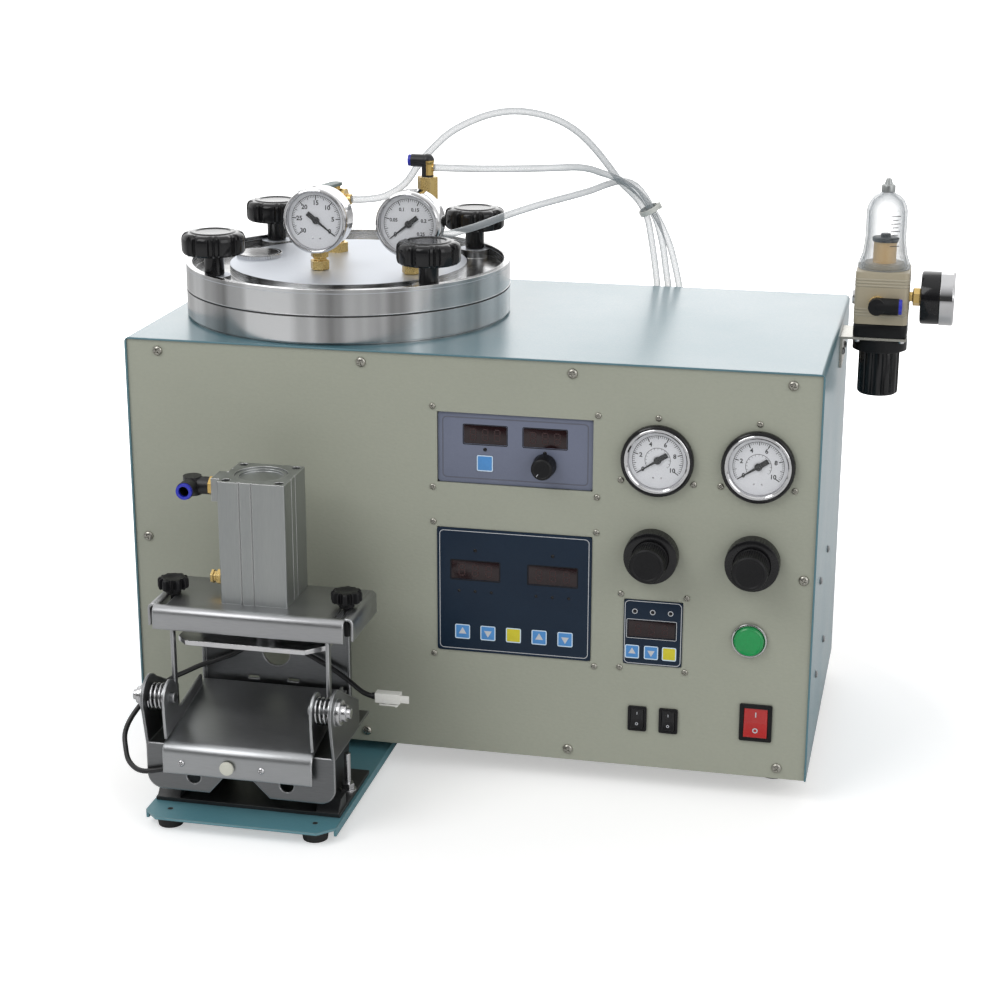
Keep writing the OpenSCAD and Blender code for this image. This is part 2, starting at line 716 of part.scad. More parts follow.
module sunk_panel(at, w, h) {
    lip = 8.5;
    on_front(at, panel_back) difference() {
        translate([0, 0, -2]) linear_extrude(2) square([w + 2 * lip, h + 2 * lip], center = true);
        for (s = corner_screws([0, 0], press_w + 7, press_h + 8)) translate([s[0], s[1], -3])
            cylinder(d = 2.6 + 2 * seat_gap, h = 4);
        for (x = [-23.6, 23.6]) translate([x, 11, -3]) linear_extrude(4) square(display_size, center = true);
        translate([press_knob_at[0] - at[0], press_knob_at[1] - at[1], -3]) cylinder(d = 6 + 2 * pin_gap, h = 4);
    }
}

module pressure_panel() {
    color([0.45, 0.48, 0.58]) place() sunk_panel(press_at, press_w, press_h);
    color([0.12, 0.02, 0.02]) place() for (x = [-23.6, 23.6])
        on_front([press_at[0] + x, press_at[1] + 11], panel_back) translate([0, 0, -10.4])
            linear_extrude(10.4) square(display_size - [2 * seat_gap, 2 * seat_gap], center = true);
    color("darkgreen") place() on_front(press_at, panel_back) translate([0, 0, -12])
        linear_extrude(1.6) square([press_w - 20, press_h - 10], center = true);
}

module controller_panels() {
    big = [[-31, 17], [31, 17]];
    small = [[-1, 3]];
    color([0.06, 0.09, 0.16]) place() overlay(ctrl_at, ctrl_w, ctrl_h, big, display_size);
    color([0.06, 0.09, 0.16]) place() overlay(hold_at, hold_w, hold_h, small, hold_display);
    color([0.12, 0.02, 0.02]) place() {
        for (p = big) on_front(ctrl_at + p, panel_y - overlay_t + 0.4) translate([0, 0, -6])
            linear_extrude(6) square(display_size - [2 * seat_gap, 2 * seat_gap], center = true);
        for (p = small) on_front(hold_at + p, panel_y - overlay_t + 0.4) translate([0, 0, -6])
            linear_extrude(6) square(hold_display - [2 * seat_gap, 2 * seat_gap], center = true);
    }
}

module pressure_knob() {
    color(black) place() on_front(press_knob_at, panel_back) {
        translate([0, 0, run_gap]) cylinder(d = press_knob_d, h = 14);
        translate([0, 0, -8]) cylinder(d = 6, h = 9);
    }
}

collar_h = 12;

module regulator_collars() {
    color(black) place() for (p = reg_at) on_front(p) difference() {
        union() {
            for (i = [0 : 23]) rotate(i * 15) translate([collar_d / 2 - 1.2, 0, 0]) cylinder(d = 2.4, h = collar_h);
            cylinder(d = collar_d - 2, h = collar_h);
            translate([0, 0, -panel_t - 40]) cylinder(d = 19.6, h = 42);
        }
        translate([0, 0, -12]) cylinder(d = 12 + 2 * pin_gap, h = collar_h + 14);
    }
}

module regulator_knob(i) {
    color(black) place() on_front(reg_at[i]) difference() {
        union() {
            translate([0, 0, collar_h + run_gap]) cylinder(d = reg_knob_d, h = reg_reach - collar_h - run_gap);
            translate([0, 0, -8]) cylinder(d = 12, h = 10 + collar_h);
        }
        for (a = [0 : 15 : 345]) rotate(a) translate([reg_knob_d / 2 + 0.4, 0, collar_h])
            cylinder(d = 1.6, h = reg_reach);
    }
}

module forward_regulator_knob() { regulator_knob(0); }
module clamp_regulator_knob() { regulator_knob(1); }

module rocker_frame(at, size) {
    on_front(at) difference() {
        union() {
            linear_extrude(2) round_rect(size[0], size[1], 1.5);
            translate([0, 0, -14]) linear_extrude(14 + eps) square([size[0] - 2.4, size[1] - 2.4], center = true);
        }
        translate([0, 0, -12]) linear_extrude(15) square([size[0] - 4, size[1] - 4], center = true);
    }
}

bezel_d = button_d + 5;

module switch_bezels() {
    color(black) place() {
        for (p = rocker_at) rocker_frame(p, rocker_size);
        rocker_frame(power_at, power_size);
    }
    color(steel) place() on_front(button_at) difference() {
        union() {
            cylinder(d = bezel_d, h = 3.5);
            translate([0, 0, -panel_t - 20]) cylinder(d = button_d - 1 - 2 * seat_gap, h = panel_t + 20.5);
        }
        translate([0, 0, -16]) cylinder(d = button_d - 4, h = 30);
        translate([0, 0, 0.2]) cylinder(d = button_d + 2 * pin_gap, h = 4);
    }
}

button_reach = 6.5;

module green_button() {
    color("green") place() on_front(button_at) {
        translate([0, 0, 0.3 + button_travel]) cylinder(d = button_d, h = button_reach - button_travel - 0.3);
        translate([0, 0, -10]) cylinder(d = button_d - 5, h = 11 + button_travel);
    }
}

rocker_tilt = 9;
rocker_face = 4.2;

// The rocker's sides are an arc about its axis, so it clears its frame at every angle
module rocker(at, size, tint) {
    r = (size[1] - 4) / 2 - run_gap;
    width = size[0] - 4 - 2 * run_gap;
    color(tint) place() translate([at[0] - width / 2, panel_y + 1.5, at[1]]) rotate([90, 0, 90])
        linear_extrude(width) rotate(-rocker_tilt) difference() {
            circle(r);
            translate([3, -r - 1]) square([r, 2 * r + 2]);
            for (s = [-1, 1]) rotate(s * rocker_tilt) translate([-r - 5, s > 0 ? 0 : -r - 1])
                square([5 + r - rocker_face, r + 1]);
        }
}

module forward_rocker() { rocker(rocker_at[0], rocker_size, black); }
module clamp_rocker() { rocker(rocker_at[1], rocker_size, black); }
module power_rocker() { rocker(power_at, power_size, "red"); }

// ---- Filter regulator ----

module filter_bracket() {
    half = filter_w / 2;
    color(steel) place() difference() {
        union() {
            box([cab_w, filter_x + half], [filter_y - half, filter_y + half], [filter_z, filter_z + plate_t]);
            box([cab_w, cab_w + plate_t], [filter_y - half, filter_y + half], [filter_z - 24, filter_z + eps]);
        }
        translate([filter_x, filter_y, filter_z - 1]) cylinder(d = 26, h = plate_t + 2);
        for (y = filter_screw_y()) x_rod(cab_w - 1, cab_w + plate_t + 1, y, filter_screw_z(), 3.2 + 2 * seat_gap);
    }
}

elbow_z = body_z + 17;

module filter_body() {
    half = filter_w / 2;
    color(beige) place() difference() {
        translate([filter_x, filter_y, body_z]) linear_extrude(body_h) round_rect(filter_w, filter_w, 3);
        translate([filter_x, filter_y, bowl_z - 8]) cylinder(d = filter_w - 10, h = 9);
    }
    color(black) place() {
        translate([filter_x, filter_y, filter_z + plate_t]) linear_extrude(bonnet_h) round_rect(filter_w, filter_w, 3);
        translate([filter_x, filter_y, filter_z - 9]) difference() {
            cylinder(d = filter_w + 1, h = 9);
            translate([0, 0, -1]) cylinder(d = 24, h = 9);
        }
        translate([filter_x, filter_y, filter_z - 2]) cylinder(d = 25.6, h = plate_t + 2);
        x_rod(filter_x - half - 2.5, filter_x - half, filter_y, filter_gauge_z - 2, 12);
    }
    front = filter_y - half;
    color(brass) place() y_rod(front - 3, front, filter_x - 3, elbow_z, 14);
    push_elbow([filter_x - 3, front - 3, elbow_z], [0, -1, 0], [1, 0, 0], 11, 20);
}

// A push-in elbow: out of a face along one way, then its mouth along another
module push_elbow(at, out, mouth, first, second) {
    body = tube_d + 5.5;
    corner = at + out * (first - body / 2);
    color(black) place() difference() {
        union() {
            along(at - out * eps, out) cylinder(d = body, h = first - body / 2);
            translate(corner - [0, 0, body / 2 + 0.4]) cylinder(d = body + 0.8, h = body + 0.8);
            along(corner, mouth) cylinder(d = body, h = second - 2.5);
        }
        along(corner + mouth * (second - 15), mouth) cylinder(d = tube_d + 0.1, h = 20);
    }
    color(blue) place() along(corner + mouth * (second - 2.5), mouth) difference() {
        cylinder(d = body - 1, h = 2.5);
        translate([0, 0, -eps]) cylinder(d = tube_d + 0.1, h = 3);
    }
}

// Turns local z to one of the six axis directions
module along(at, dir) {
    turn = dir[2] > 0.5 ? [0, 0, 0] : dir[2] < -0.5 ? [180, 0, 0] : dir[0] > 0.5 ? [0, 90, 0]
        : dir[0] < -0.5 ? [0, -90, 0] : dir[1] > 0.5 ? [-90, 0, 0] : [90, 0, 0];
    translate(at) rotate(turn) children();
}

module filter_bowl() {
    r0 = filter_w / 2 - 0.5;
    r1 = 16.4;
    wall = 2;
    color([0.8, 0.85, 0.9, 0.5]) place() translate([filter_x, filter_y, bowl_z]) rotate_extrude() polygon([
        [r0 - wall, 0], [r0, 0], [r0, 4], [r1 + 1.5, 12], [r1, 26], [r1, bowl_h - 16], [r1 - 3, bowl_h - 7],
        [r1 - 9, bowl_h - 2], [4.5, bowl_h], [4.5, bowl_h - 2], [r1 - 10, bowl_h - 4], [r1 - 5, bowl_h - 9],
        [r1 - wall, bowl_h - 17], [r1 - wall, 26], [r1 - 0.6, 13], [r0 - wall, 5]]);
}

module filter_element() {
    color("tan") place() translate([filter_x, filter_y, bowl_z - 8]) difference() {
        cylinder(d = 18.6, h = 30);
        translate([0, 0, -1]) cylinder(d = 9, h = 24);
    }
    color(black) place() translate([filter_x, filter_y, bowl_z + 22]) {
        cylinder(d = 21, h = 3);
        cylinder(d = 8, h = 6);
    }
}

module drain_knob() {
    color(black) place() translate([filter_x, filter_y, bowl_z + bowl_h + run_gap]) {
        cylinder(d = 11, h = 5);
        translate([0, 0, 5]) cylinder(d1 = 9, d2 = 4, h = 5);
        translate([0, 0, -6]) cylinder(d = 9 - 2 * pin_gap, h = 6 + eps);
    }
}

module filter_knob() {
    bottom = filter_z - 48;
    color(black) place() translate([filter_x, filter_y, bottom]) {
        difference() {
            cylinder(d = filter_knob_d, h = 37);
            for (a = [0 : 30 : 330]) rotate(a) translate([filter_knob_d / 2 + 0.5, 0, 4]) cylinder(d = 2, h = 34);
        }
        translate([0, 0, 37 - eps]) cylinder(d = 24 - 2 * pin_gap, h = 8);
    }
}

// ---- Lid ----

cap_at = [66 - pot_x, 142 - pot_y];

module lid() {
    r = ring_d / 2;
    color(steel) difference() {
        union() {
            at_pot(lid_z) rotate_extrude($fn = 96) polygon([[0, 0], [0, lid_h - disc_drop],
                [disc_d / 2, lid_h - disc_drop], [disc_d / 2, lid_h - moat_depth],
                [r - rim_w, lid_h - moat_depth], [r - rim_w, lid_h], [r, lid_h], [r, 0]]);
            intersection() {
                for (k = knob_angles) at_pot(moat_z - eps) rotate(k[1]) translate([knob_ring_r, 0, 0])
                    cylinder(d = boss_d, h = moat_depth - disc_drop + eps);
                at_pot(moat_z - 1) cylinder(r = r - rim_w / 2, h = 20);
            }
        }
        for (k = knob_angles) at_pot(lid_z - 1) rotate(k[1]) translate([knob_ring_r, 0, 0])
            cylinder(r = stud_hole, h = lid_h + 2);
    }
    color(white) at_pot(disc_top) translate([cap_at[0], cap_at[1], 0]) cylinder(d = cap_d, h = 3.4);
}

module lid_knob(i) {
    color(black) at_pot(disc_top) rotate(knob_angles[i][1]) translate([knob_ring_r, 0, 0]) {
        difference() {
            translate([0, 0, stem_h]) cylinder(d = hand_knob_d, h = hand_knob_h);
            for (a = [22.5 : 45 : 337.5]) rotate(a) translate([hand_knob_d / 2 + 5, 0, stem_h - 1])
                cylinder(d = 15, h = hand_knob_h + 2);
            translate([0, 0, stem_h + hand_knob_h - 1]) cylinder(d = hand_knob_d * 0.55, h = 2);
        }
        cylinder(d = stem_d, h = stem_h + eps);
        // the stud ends at the lid's underside, as when the knob is undone
        translate([0, 0, disc_drop - lid_h]) cylinder(d = stud_d, h = lid_h - disc_drop + eps);
    }
}

module lid_knob_front_left() { lid_knob(0); }
module lid_knob_back_left() { lid_knob(1); }
module lid_knob_front_right() { lid_knob(2); }
module lid_knob_back_right() { lid_knob(3); }

valve_at = [123, 178];
valve_z = disc_top + 44.5;
column_at = [205, 170];
column_hex_z = disc_top + 49;
column_top = disc_top + 67.5;
barb_at = [208, 140];

module lid_fittings() {
    color(brass) place() {
        translate([valve_at[0], valve_at[1], disc_top]) {
            hex(17, 8);
            cylinder(d = 13, h = valve_z - disc_top);
        }
        x_rod(valve_at[0] - 13, valve_at[0] + 9, valve_at[1], valve_z, 18);
        x_rod(valve_at[0] + 9 - eps, valve_at[0] + 14 - hose_gap, valve_at[1], valve_z, 9);
        translate([valve_at[0], valve_at[1], valve_z]) cylinder(d = 8, h = 11);
        translate([column_at[0], column_at[1], disc_top]) {
            hex(17, 9);
            cylinder(d = 13, h = column_hex_z - disc_top + eps);
            translate([0, 0, column_hex_z - disc_top]) hex(15, column_top - column_hex_z);
        }
        translate([barb_at[0], barb_at[1], disc_top]) {
            hex(14, 8);
            cylinder(d = 10, h = 30);
        }
        x_rod(barb_at[0], barb_at[0] + 14 - hose_gap, barb_at[1], disc_top + 25, 6);
    }
    color(black) place() difference() {
        union() {
            translate([column_at[0], column_at[1], column_top]) cylinder(d = 10, h = 13);
            translate([column_at[0], column_at[1], column_top + 13]) sphere(d = 11.4);
            x_rod(column_at[0] - 13.5, column_at[0], column_at[1], column_top + 13, 10.4);
            x_rod(column_at[0], column_at[0] + 6 - hose_gap, column_at[1], column_top + 7.5, 6);
        }
        x_rod(column_at[0] - 17, column_at[0] - 2, column_at[1], column_top + 13, hose_d + 0.1);
    }
    color(blue) place() difference() {
        x_rod(column_at[0] - 16, column_at[0] - 13.5, column_at[1], column_top + 13, 9.6);
        x_rod(column_at[0] - 17, column_at[0] - 2, column_at[1], column_top + 13, hose_d + 0.1);
    }
}

module valve_lever() {
    color([0.45, 0.5, 0.5]) place() translate([valve_at[0], valve_at[1], valve_z + 11 + run_gap]) rotate(-103) {
        cylinder(d = 11, h = 2.5);
        translate([0, -5, 0]) cube([52, 10, 2.5]);
        translate([52, 0, 0]) cylinder(d = 10, h = 2.5);
    }
}

module hose(route, rings) {
    color([0.85, 0.88, 0.9, 0.6]) place() sweep(smooth(route, rings), hose_d, 8);
}

module relief_hose() { hose(relief_route, 2); }
module vacuum_hose() { hose(vacuum_route, 3); }
module pressure_hose() { hose(pressure_route, 3); }

tie_at = [371.4, 304.25, 393];
tie_tilt = [8, -26, 0];
tie_bore = 16.8;

module hose_tie() {
    color(white) place() translate(tie_at) rotate(tie_tilt) difference() {
        cylinder(d = tie_bore + 2.4, h = 4.5, center = true);
        cylinder(d = tie_bore, h = 6, center = true);
    }
}

// ---- Mould clamp ----

module base_plate() {
    half = base_w / 2;
    chamfer = 12;
    color(teal) place() difference() {
        union() {
            translate([clamp_x, 0, base_top - base_t]) linear_extrude(base_t) polygon([
                [-half, base_back], [-half, -base_reach + chamfer], [-half + chamfer, -base_reach],
                [half - chamfer, -base_reach], [half, -base_reach + chamfer], [half, base_back]]);
            for (s = [-1, 1]) translate([clamp_x + s * (half - base_t / 2), 0, 0])
                box([-base_t / 2, base_t / 2], [-base_reach + chamfer, base_back],
                    [base_top - base_flange, base_top - eps]);
        }
        for (p = base_feet()) translate([p[0], p[1], base_top - 5]) cylinder(d = 4 + 2 * seat_gap, h = 8);
    }
    // spacers up to the cabinet's floor
    color(steel) place() for (s = [-1, 1]) translate([clamp_x + s * (half - 24), base_back - 30, base_top])
        cylinder(d = 14, h = -base_top);
}

module slide_plate() {
    post = [[-60, -36], [36, 60]];
    color(black) place() {
        box([clamp_x - 74, clamp_x + 74], [-126, -44], [base_top + slide_gap, slide_top]);
        for (p = post) box([clamp_x + p[0], clamp_x + p[1]], [-112, -52], [slide_top - eps, shelf_z]);
        for (s = [-1, 1]) translate([clamp_x + s * 64, -126, slide_top - eps]) rotate([90, 0, 90])
            translate([0, 0, -9]) linear_extrude(18) polygon([[0, 0], [8, 9], [20, 9], [20, 0]]);
    }
    color(steel) place() for (s = [-1, 1]) translate([clamp_x + s * 67.5, -82, slide_top]) {
        cylinder(d = 13, h = 1.5);
        hex(9, 6);
        cylinder(d = 5, h = 31);
    }
}

front_bottom = 9;

module clamp_frame() {
    half = frame_w / 2;
    color(steel) place() difference() {
        union() {
            // front plate with rounded bottom corners
            on_front([clamp_x, 0], front_y + clamp_sheet) linear_extrude(clamp_sheet) {
                translate([-half, front_bottom + 12]) square([frame_w, shelf_top - front_bottom - 12]);
                translate([-half + 12, front_bottom]) square([frame_w - 24, 13]);
                for (s = [-1, 1]) translate([s * (half - 12), front_bottom + 12]) circle(12);
            }
            box([clamp_x - half, clamp_x + half], [front_y, wall_y], [shelf_z, shelf_top]);
            // rear wall with its narrow flanges
            box([clamp_x - wall_w / 2, clamp_x + wall_w / 2], [wall_y - 2.5, wall_y], [shelf_z, bracket_z]);
            for (s = [-1, 1]) translate([clamp_x + s * (wall_w / 2 - 1), 0, 0])
                box([-1, 1], [wall_y - 5.5, wall_y], [shelf_z, bracket_z]);
            // side plates with their ears
            for (s = [-1, 1]) translate([clamp_x + s * (half - clamp_sheet / 2), 0, 0])
                translate([-clamp_sheet / 2, 0, 0]) rotate([90, 0, 90]) linear_extrude(clamp_sheet) {
                    translate([pivot_y, pivot_z]) circle(ear_r);
                    polygon([[pivot_y - ear_r, pivot_z], [front_y, shelf_z], [-72, shelf_z], [-72, 68],
                        [pivot_y + 12, pivot_z + 12]]);
                }
        }
        // centre cut-out and the two drain slots of the front plate
        on_front([clamp_x, 0], front_y + clamp_sheet + 1) linear_extrude(clamp_sheet + 2) {
            polygon([[-26, front_bottom - 1], [-14, front_bottom + 13], [10, front_bottom + 13], [24, front_bottom - 1]]);
            for (x = [-37.5, 36.5]) translate([x, 21]) intersection() {
                circle(5.5);
                translate([-6, -6]) square([12, 8]);
            }
        }
        y_rod(wall_y - 4, wall_y + 1, clamp_x, nozzle_z, nozzle_window);
        for (x = [-24, 9]) box([clamp_x + x, clamp_x + x + 9], [wall_y - 4, wall_y + 1], [66.5, 69]);
        for (s = [-1, 1]) x_rod(clamp_x + s * half - 5, clamp_x + s * half + 5, pivot_y, pivot_z,
            pivot_d + 2 * seat_gap);
    }
    // lug and rod that the forward cylinder drives
    color(steel) place() {
        box([clamp_x - 12, clamp_x + 12], [-52, wall_y], [slide_top, shelf_z]);
        y_rod(wall_y - eps, 60, clamp_x, cyl_rod_z, cyl_rod_d);
    }
    color(dark_steel) place() for (s = [-1, 1]) {
        outer = clamp_x + s * (half + 11);
        inner = clamp_x + s * (tray_w / 2 - 4);
        x_rod(min(outer, inner), max(outer, inner), pivot_y, pivot_z, pivot_d);
        washer = clamp_x + s * (half + 2);
        x_rod(washer - 2, washer + 2, pivot_y, pivot_z, 20);
        nut = clamp_x + s * (half + 6);
        x_rod(nut - 2, nut + 2, pivot_y, pivot_z, 13);
    }
}

spring_gap = 0.3;
outer_face = frame_w / 2 - clamp_sheet - spring_gap;
inner_face = tray_w / 2 + clamp_sheet + spring_gap;

function coil_route(x0, x1) = [for (i = [0 : 8 * spring_turns])
    let (a = 45 * i, r = (spring_d - spring_wire) / 2)
    [x0 + spring_wire / 2 + (x1 - x0 - spring_wire) * i / (8 * spring_turns), r * cos(a), r * sin(a)]];
coil_pitch = (outer_face - inner_face - spring_wire) / spring_turns;
echo(least_gap = coil_pitch - spring_wire);

module pivot_springs() {
    color(steel) place() translate([clamp_x, pivot_y, pivot_z]) {
        sweep(coil_route(inner_face, outer_face), spring_wire, 6);
        sweep(coil_route(-outer_face, -inner_face), spring_wire, 6);
    }
}

module top_bracket() {
    front_half = 75.5;
    half = bracket_w / 2;
    wing_front = -105;
    color(steel) place() difference() {
        union() {
            box([clamp_x - front_half, clamp_x + front_half], [bracket_front, wing_front + eps],
                [bracket_z, bracket_top]);
            box([clamp_x - half, clamp_x + half], [wing_front, bracket_back], [bracket_z, bracket_top]);
            box([clamp_x - front_half, clamp_x + front_half], [bracket_front, bracket_front + clamp_sheet],
                [bracket_top - 18, bracket_top]);
            for (s = [-1, 1]) translate([clamp_x + s * (half - clamp_sheet / 2), 0, 0])
                translate([-clamp_sheet / 2, 0, 0]) rotate([90, 0, 90]) linear_extrude(clamp_sheet)
                    polygon([[wing_front, bracket_top], [wing_front, bracket_top - 15],
                        [wing_front + 8, bracket_top - 15], [bracket_back, bracket_top - 9],
                        [bracket_back, bracket_top]]);
        }
        for (s = [-1, 1]) translate([clamp_x + s * slot_x, 0, bracket_z - 1]) {
            box([-3, 3], [-107, -72], [0, clamp_sheet + 2]);
            for (y = [-107, -72]) translate([0, y, 0]) cylinder(d = 6, h = clamp_sheet + 2);
        }
        translate([clamp_x, barrel_y, bracket_z - 1]) cylinder(d = rod_d + 4, h = clamp_sheet + 2);
    }
    // guide straps held under the plate by the star knobs
    color(steel) place() for (s = [-1, 1]) translate([clamp_x, 0, 0]) mirror([s < 0 ? 0 : 1, 0, 0]) {
        foot = s < 0 ? 72 : 83;
        difference() {
            box([-75, -60.5], [-110, -70], [bracket_z - 3, bracket_z]);
            translate([-slot_x, star_y, bracket_z - 4]) cylinder(d = star_stud + 2 * pin_gap, h = 5);
        }
        box([-63, -60.5], [-110, -104], [foot, bracket_z - 3 + eps]);
        box([-70, -60.5], [-110, -104], [foot - 2.5, foot + eps]);
    }
}

module clamp_cylinder() {
    half = barrel_w / 2;
    top = bracket_top + barrel_h;
    color([0.75, 0.76, 0.78]) place() difference() {
        union() {
            translate([clamp_x, barrel_y, bracket_top]) linear_extrude(barrel_h) round_rect(barrel_w, barrel_w, 1.5);
            box([clamp_x - half - 7, clamp_x - half + 1], [port_y - 10, port_y + 10], [top - 18, top]);
        }
        translate([clamp_x, barrel_y, bracket_top + 8]) cylinder(d = bore_d + 2 * pin_gap, h = barrel_h);
        translate([clamp_x, barrel_y, bracket_top - 1]) cylinder(d = rod_d + 2 * pin_gap, h = 12);
        for (x = [-1, 1], y = [-1, 1]) translate([clamp_x + x * (half - 5.5), barrel_y + y * (half - 5.5), top - 12])
            cylinder(d = 7, h = 13);
        // grooves of the drawn barrel, on all four sides
        for (a = [0 : 90 : 270], x = [-9, 0.6]) translate([clamp_x, barrel_y, bracket_top - 1]) rotate(a)
            translate([x - 0.6, -half - 1, 0]) cube([1.2, 2, barrel_h + 2]);
    }
    color(steel) place() translate([clamp_x, barrel_y, top - 6]) difference() {
        cylinder(d = bore_d, h = 5);
        translate([0, 0, 3]) cylinder(d = bore_d - 6, h = 4);
    }
    face = clamp_x - half - 7;
    color(brass) place() {
        translate([face - 4, port_y, port_z]) rotate([0, 90, 0]) hex(13, 4);
        translate([clamp_x - half - 7, barrel_y - 1, bracket_top + 12]) rotate([0, 90, 0]) hex(12, 7);
    }
    push_elbow([face - 4, port_y, port_z], [-1, 0, 0], [0, -1, 0], 21, 20);
}

module star_knob(s) {
    color(black) place() translate([clamp_x + s * slot_x, star_y, bracket_top + run_gap]) {
        difference() {
            translate([0, 0, 4]) cylinder(d = 24, h = 9);
            for (a = [0 : 60 : 300]) rotate(a) translate([14.5, 0, 3]) cylinder(d = 10, h = 11);
        }
        cylinder(d = 12, h = 4 + eps);
        translate([0, 0, -10]) cylinder(d = star_stud, h = 10 + eps);
    }
}

module star_knob_left() { star_knob(-1); }
module star_knob_right() { star_knob(1); }

module press_plate() {
    half = press_plate_w / 2;
    piston_z = bracket_top + barrel_h - 22;
    color(steel) place() {
        translate([clamp_x, 0, press_z]) linear_extrude(press_plate_t) polygon([[-half, press_back],
            [-half, press_front + 9], [-half + 9, press_front], [half - 16, press_front],
            [half, press_front + 12], [half, press_back]]);
        translate([clamp_x, barrel_y, press_z + press_plate_t - eps])
            cylinder(d = rod_d, h = piston_z - press_z - press_plate_t + 1);
        translate([clamp_x, barrel_y, piston_z]) cylinder(d = bore_d, h = 12);
    }
    color(dark_steel) place() translate([clamp_x, barrel_y, press_z + press_plate_t]) cylinder(d = 26, h = 5);
}

module tray() {
    half = tray_w / 2;
    t = clamp_sheet;
    color(dark_steel) place() difference() {
        union() {
            translate([clamp_x - half - t, 0, 0]) rotate([90, 0, 90]) linear_extrude(tray_w + t * 2) polygon([
                [flange_y, tray_flange_z], [flange_y, tray_front_z], [tray_back, tray_back_z],
                [tray_back, tray_back_z - t], [flange_y + t, tray_front_z - t], [flange_y + t, tray_flange_z]]);
            for (s = [-1, 1]) translate([clamp_x + s * (half + t / 2) - t / 2, 0, 0])
                rotate([90, 0, 90]) linear_extrude(t) {
                    translate([pivot_y, pivot_z]) circle(ear_r - 3);
                    polygon([[flange_y + 6, tray_front_z], [pivot_y - 11, pivot_z - 8], [pivot_y + 11, pivot_z - 8],
                        [pivot_y + 20, tray_front_z + 16], [-62, tray_back_z + 8], [-62, tray_back_z - 3]]);
                }
        }
        for (s = [-1, 1]) x_rod(clamp_x + s * half - 5, clamp_x + s * half + 5, pivot_y, pivot_z,
            pivot_d + 2 * pin_gap);
        y_rod(flange_y - 1, flange_y + 3, tray_btn[0], tray_btn[1], 6 + 2 * pin_gap);
        for (x = tray_screws_x) y_rod(flange_y - 1, flange_y + 3, x, tray_btn[1], 3 + 2 * seat_gap);
    }
    color(steel) place() for (x = tray_screws_x)
        on_front([x, tray_btn[1]], flange_y) pan_screw(5.5, 2, 3, 3.5);
    color(black) place() difference() {
        box([tray_btn[0] - 10, tray_btn[0] + 10], [flange_y + t, front_y - 1.5], [tray_btn[1] - 7, tray_btn[1] + 7]);
        y_rod(flange_y, front_y - 3, tray_btn[0], tray_btn[1], 6 + 2 * pin_gap);
    }
}

tray_screws_x = [90, 153.5];
tray_press = 1.5;

module tray_button() {
    color(white) place() {
        y_rod(flange_y - tray_press - 2.5, flange_y - tray_press, tray_btn[0], tray_btn[1], tray_btn_d);
        y_rod(flange_y - tray_press - eps, flange_y + 2.2, tray_btn[0], tray_btn[1], 6);
    }
}

module cable() {
    color(black) place() sweep(smooth(cable_route, 2), cable_d, 8);
}

module connector() {
    end = cable_route[len(cable_route) - 1];
    color(white) place() translate([end[0], end[1] - 4, end[2] - 4]) {
        difference() {
            cube([20, 8, 8]);
            for (z = [1.2, 4.6]) translate([12, 2.2, z]) cube([9, 3.6, 2.2]);
        }
        translate([14, 1, 1]) cube([13, 1.2, 6]);
        translate([3, 1.5, -2.6]) cube([15, 5, 1.6]);
        translate([8, 1.5, -1.2]) cube([3, 5, 1.4]);
    }
}

cover();
front_panel();
chassis();
rubber_feet();
screws();
wax_pot();
pot_heater();
nozzle();
control_unit();
air_valves();
forward_cylinder();
panel_gauges();
pressure_panel();
controller_panels();
regulator_collars();
switch_bezels();
filter_bracket();
filter_body();
filter_bowl();
filter_element();
filter_gauge();
base_plate();
forward_needle();
clamp_needle();
filter_needle();
pressure_knob();
forward_regulator_knob();
clamp_regulator_knob();
green_button();
forward_rocker();
clamp_rocker();
power_rocker();
filter_knob();
drain_knob();
lid();
lid_gauges();
lid_fittings();
relief_hose();
vacuum_hose();
pressure_hose();
hose_tie();
lid_knob_front_left();
lid_knob_back_left();
lid_knob_front_right();
lid_knob_back_right();
vacuum_needle();
pot_needle();
valve_lever();
slide_plate();
clamp_frame();
pivot_springs();
top_bracket();
clamp_cylinder();
star_knob_left();
star_knob_right();
press_plate();
tray();
tray_button();
cable();
connector();
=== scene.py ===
import json
import math

import bmesh
import bpy
from mathutils import Matrix, Vector

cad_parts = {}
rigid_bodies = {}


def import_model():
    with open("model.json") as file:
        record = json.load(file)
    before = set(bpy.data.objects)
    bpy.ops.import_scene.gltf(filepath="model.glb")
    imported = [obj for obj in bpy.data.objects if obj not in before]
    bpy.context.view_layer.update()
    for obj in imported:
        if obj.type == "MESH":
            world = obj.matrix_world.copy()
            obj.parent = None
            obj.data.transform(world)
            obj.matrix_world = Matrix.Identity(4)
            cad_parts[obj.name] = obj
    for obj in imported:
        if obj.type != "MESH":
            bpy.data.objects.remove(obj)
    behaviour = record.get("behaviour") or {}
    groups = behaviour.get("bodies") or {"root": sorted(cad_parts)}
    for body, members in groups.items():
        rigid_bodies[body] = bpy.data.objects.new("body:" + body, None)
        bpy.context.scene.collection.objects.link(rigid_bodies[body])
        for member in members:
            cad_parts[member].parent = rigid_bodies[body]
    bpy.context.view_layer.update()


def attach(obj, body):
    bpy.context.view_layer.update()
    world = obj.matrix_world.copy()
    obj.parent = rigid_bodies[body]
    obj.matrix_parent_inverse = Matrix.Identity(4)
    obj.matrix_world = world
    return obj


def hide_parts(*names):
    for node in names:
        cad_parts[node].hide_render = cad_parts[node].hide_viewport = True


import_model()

# places are given in millimetres from the cabinet's front bottom left corner, as on a drawing
origin = {"x": 319.25, "y": 77.5, "foot": 20}
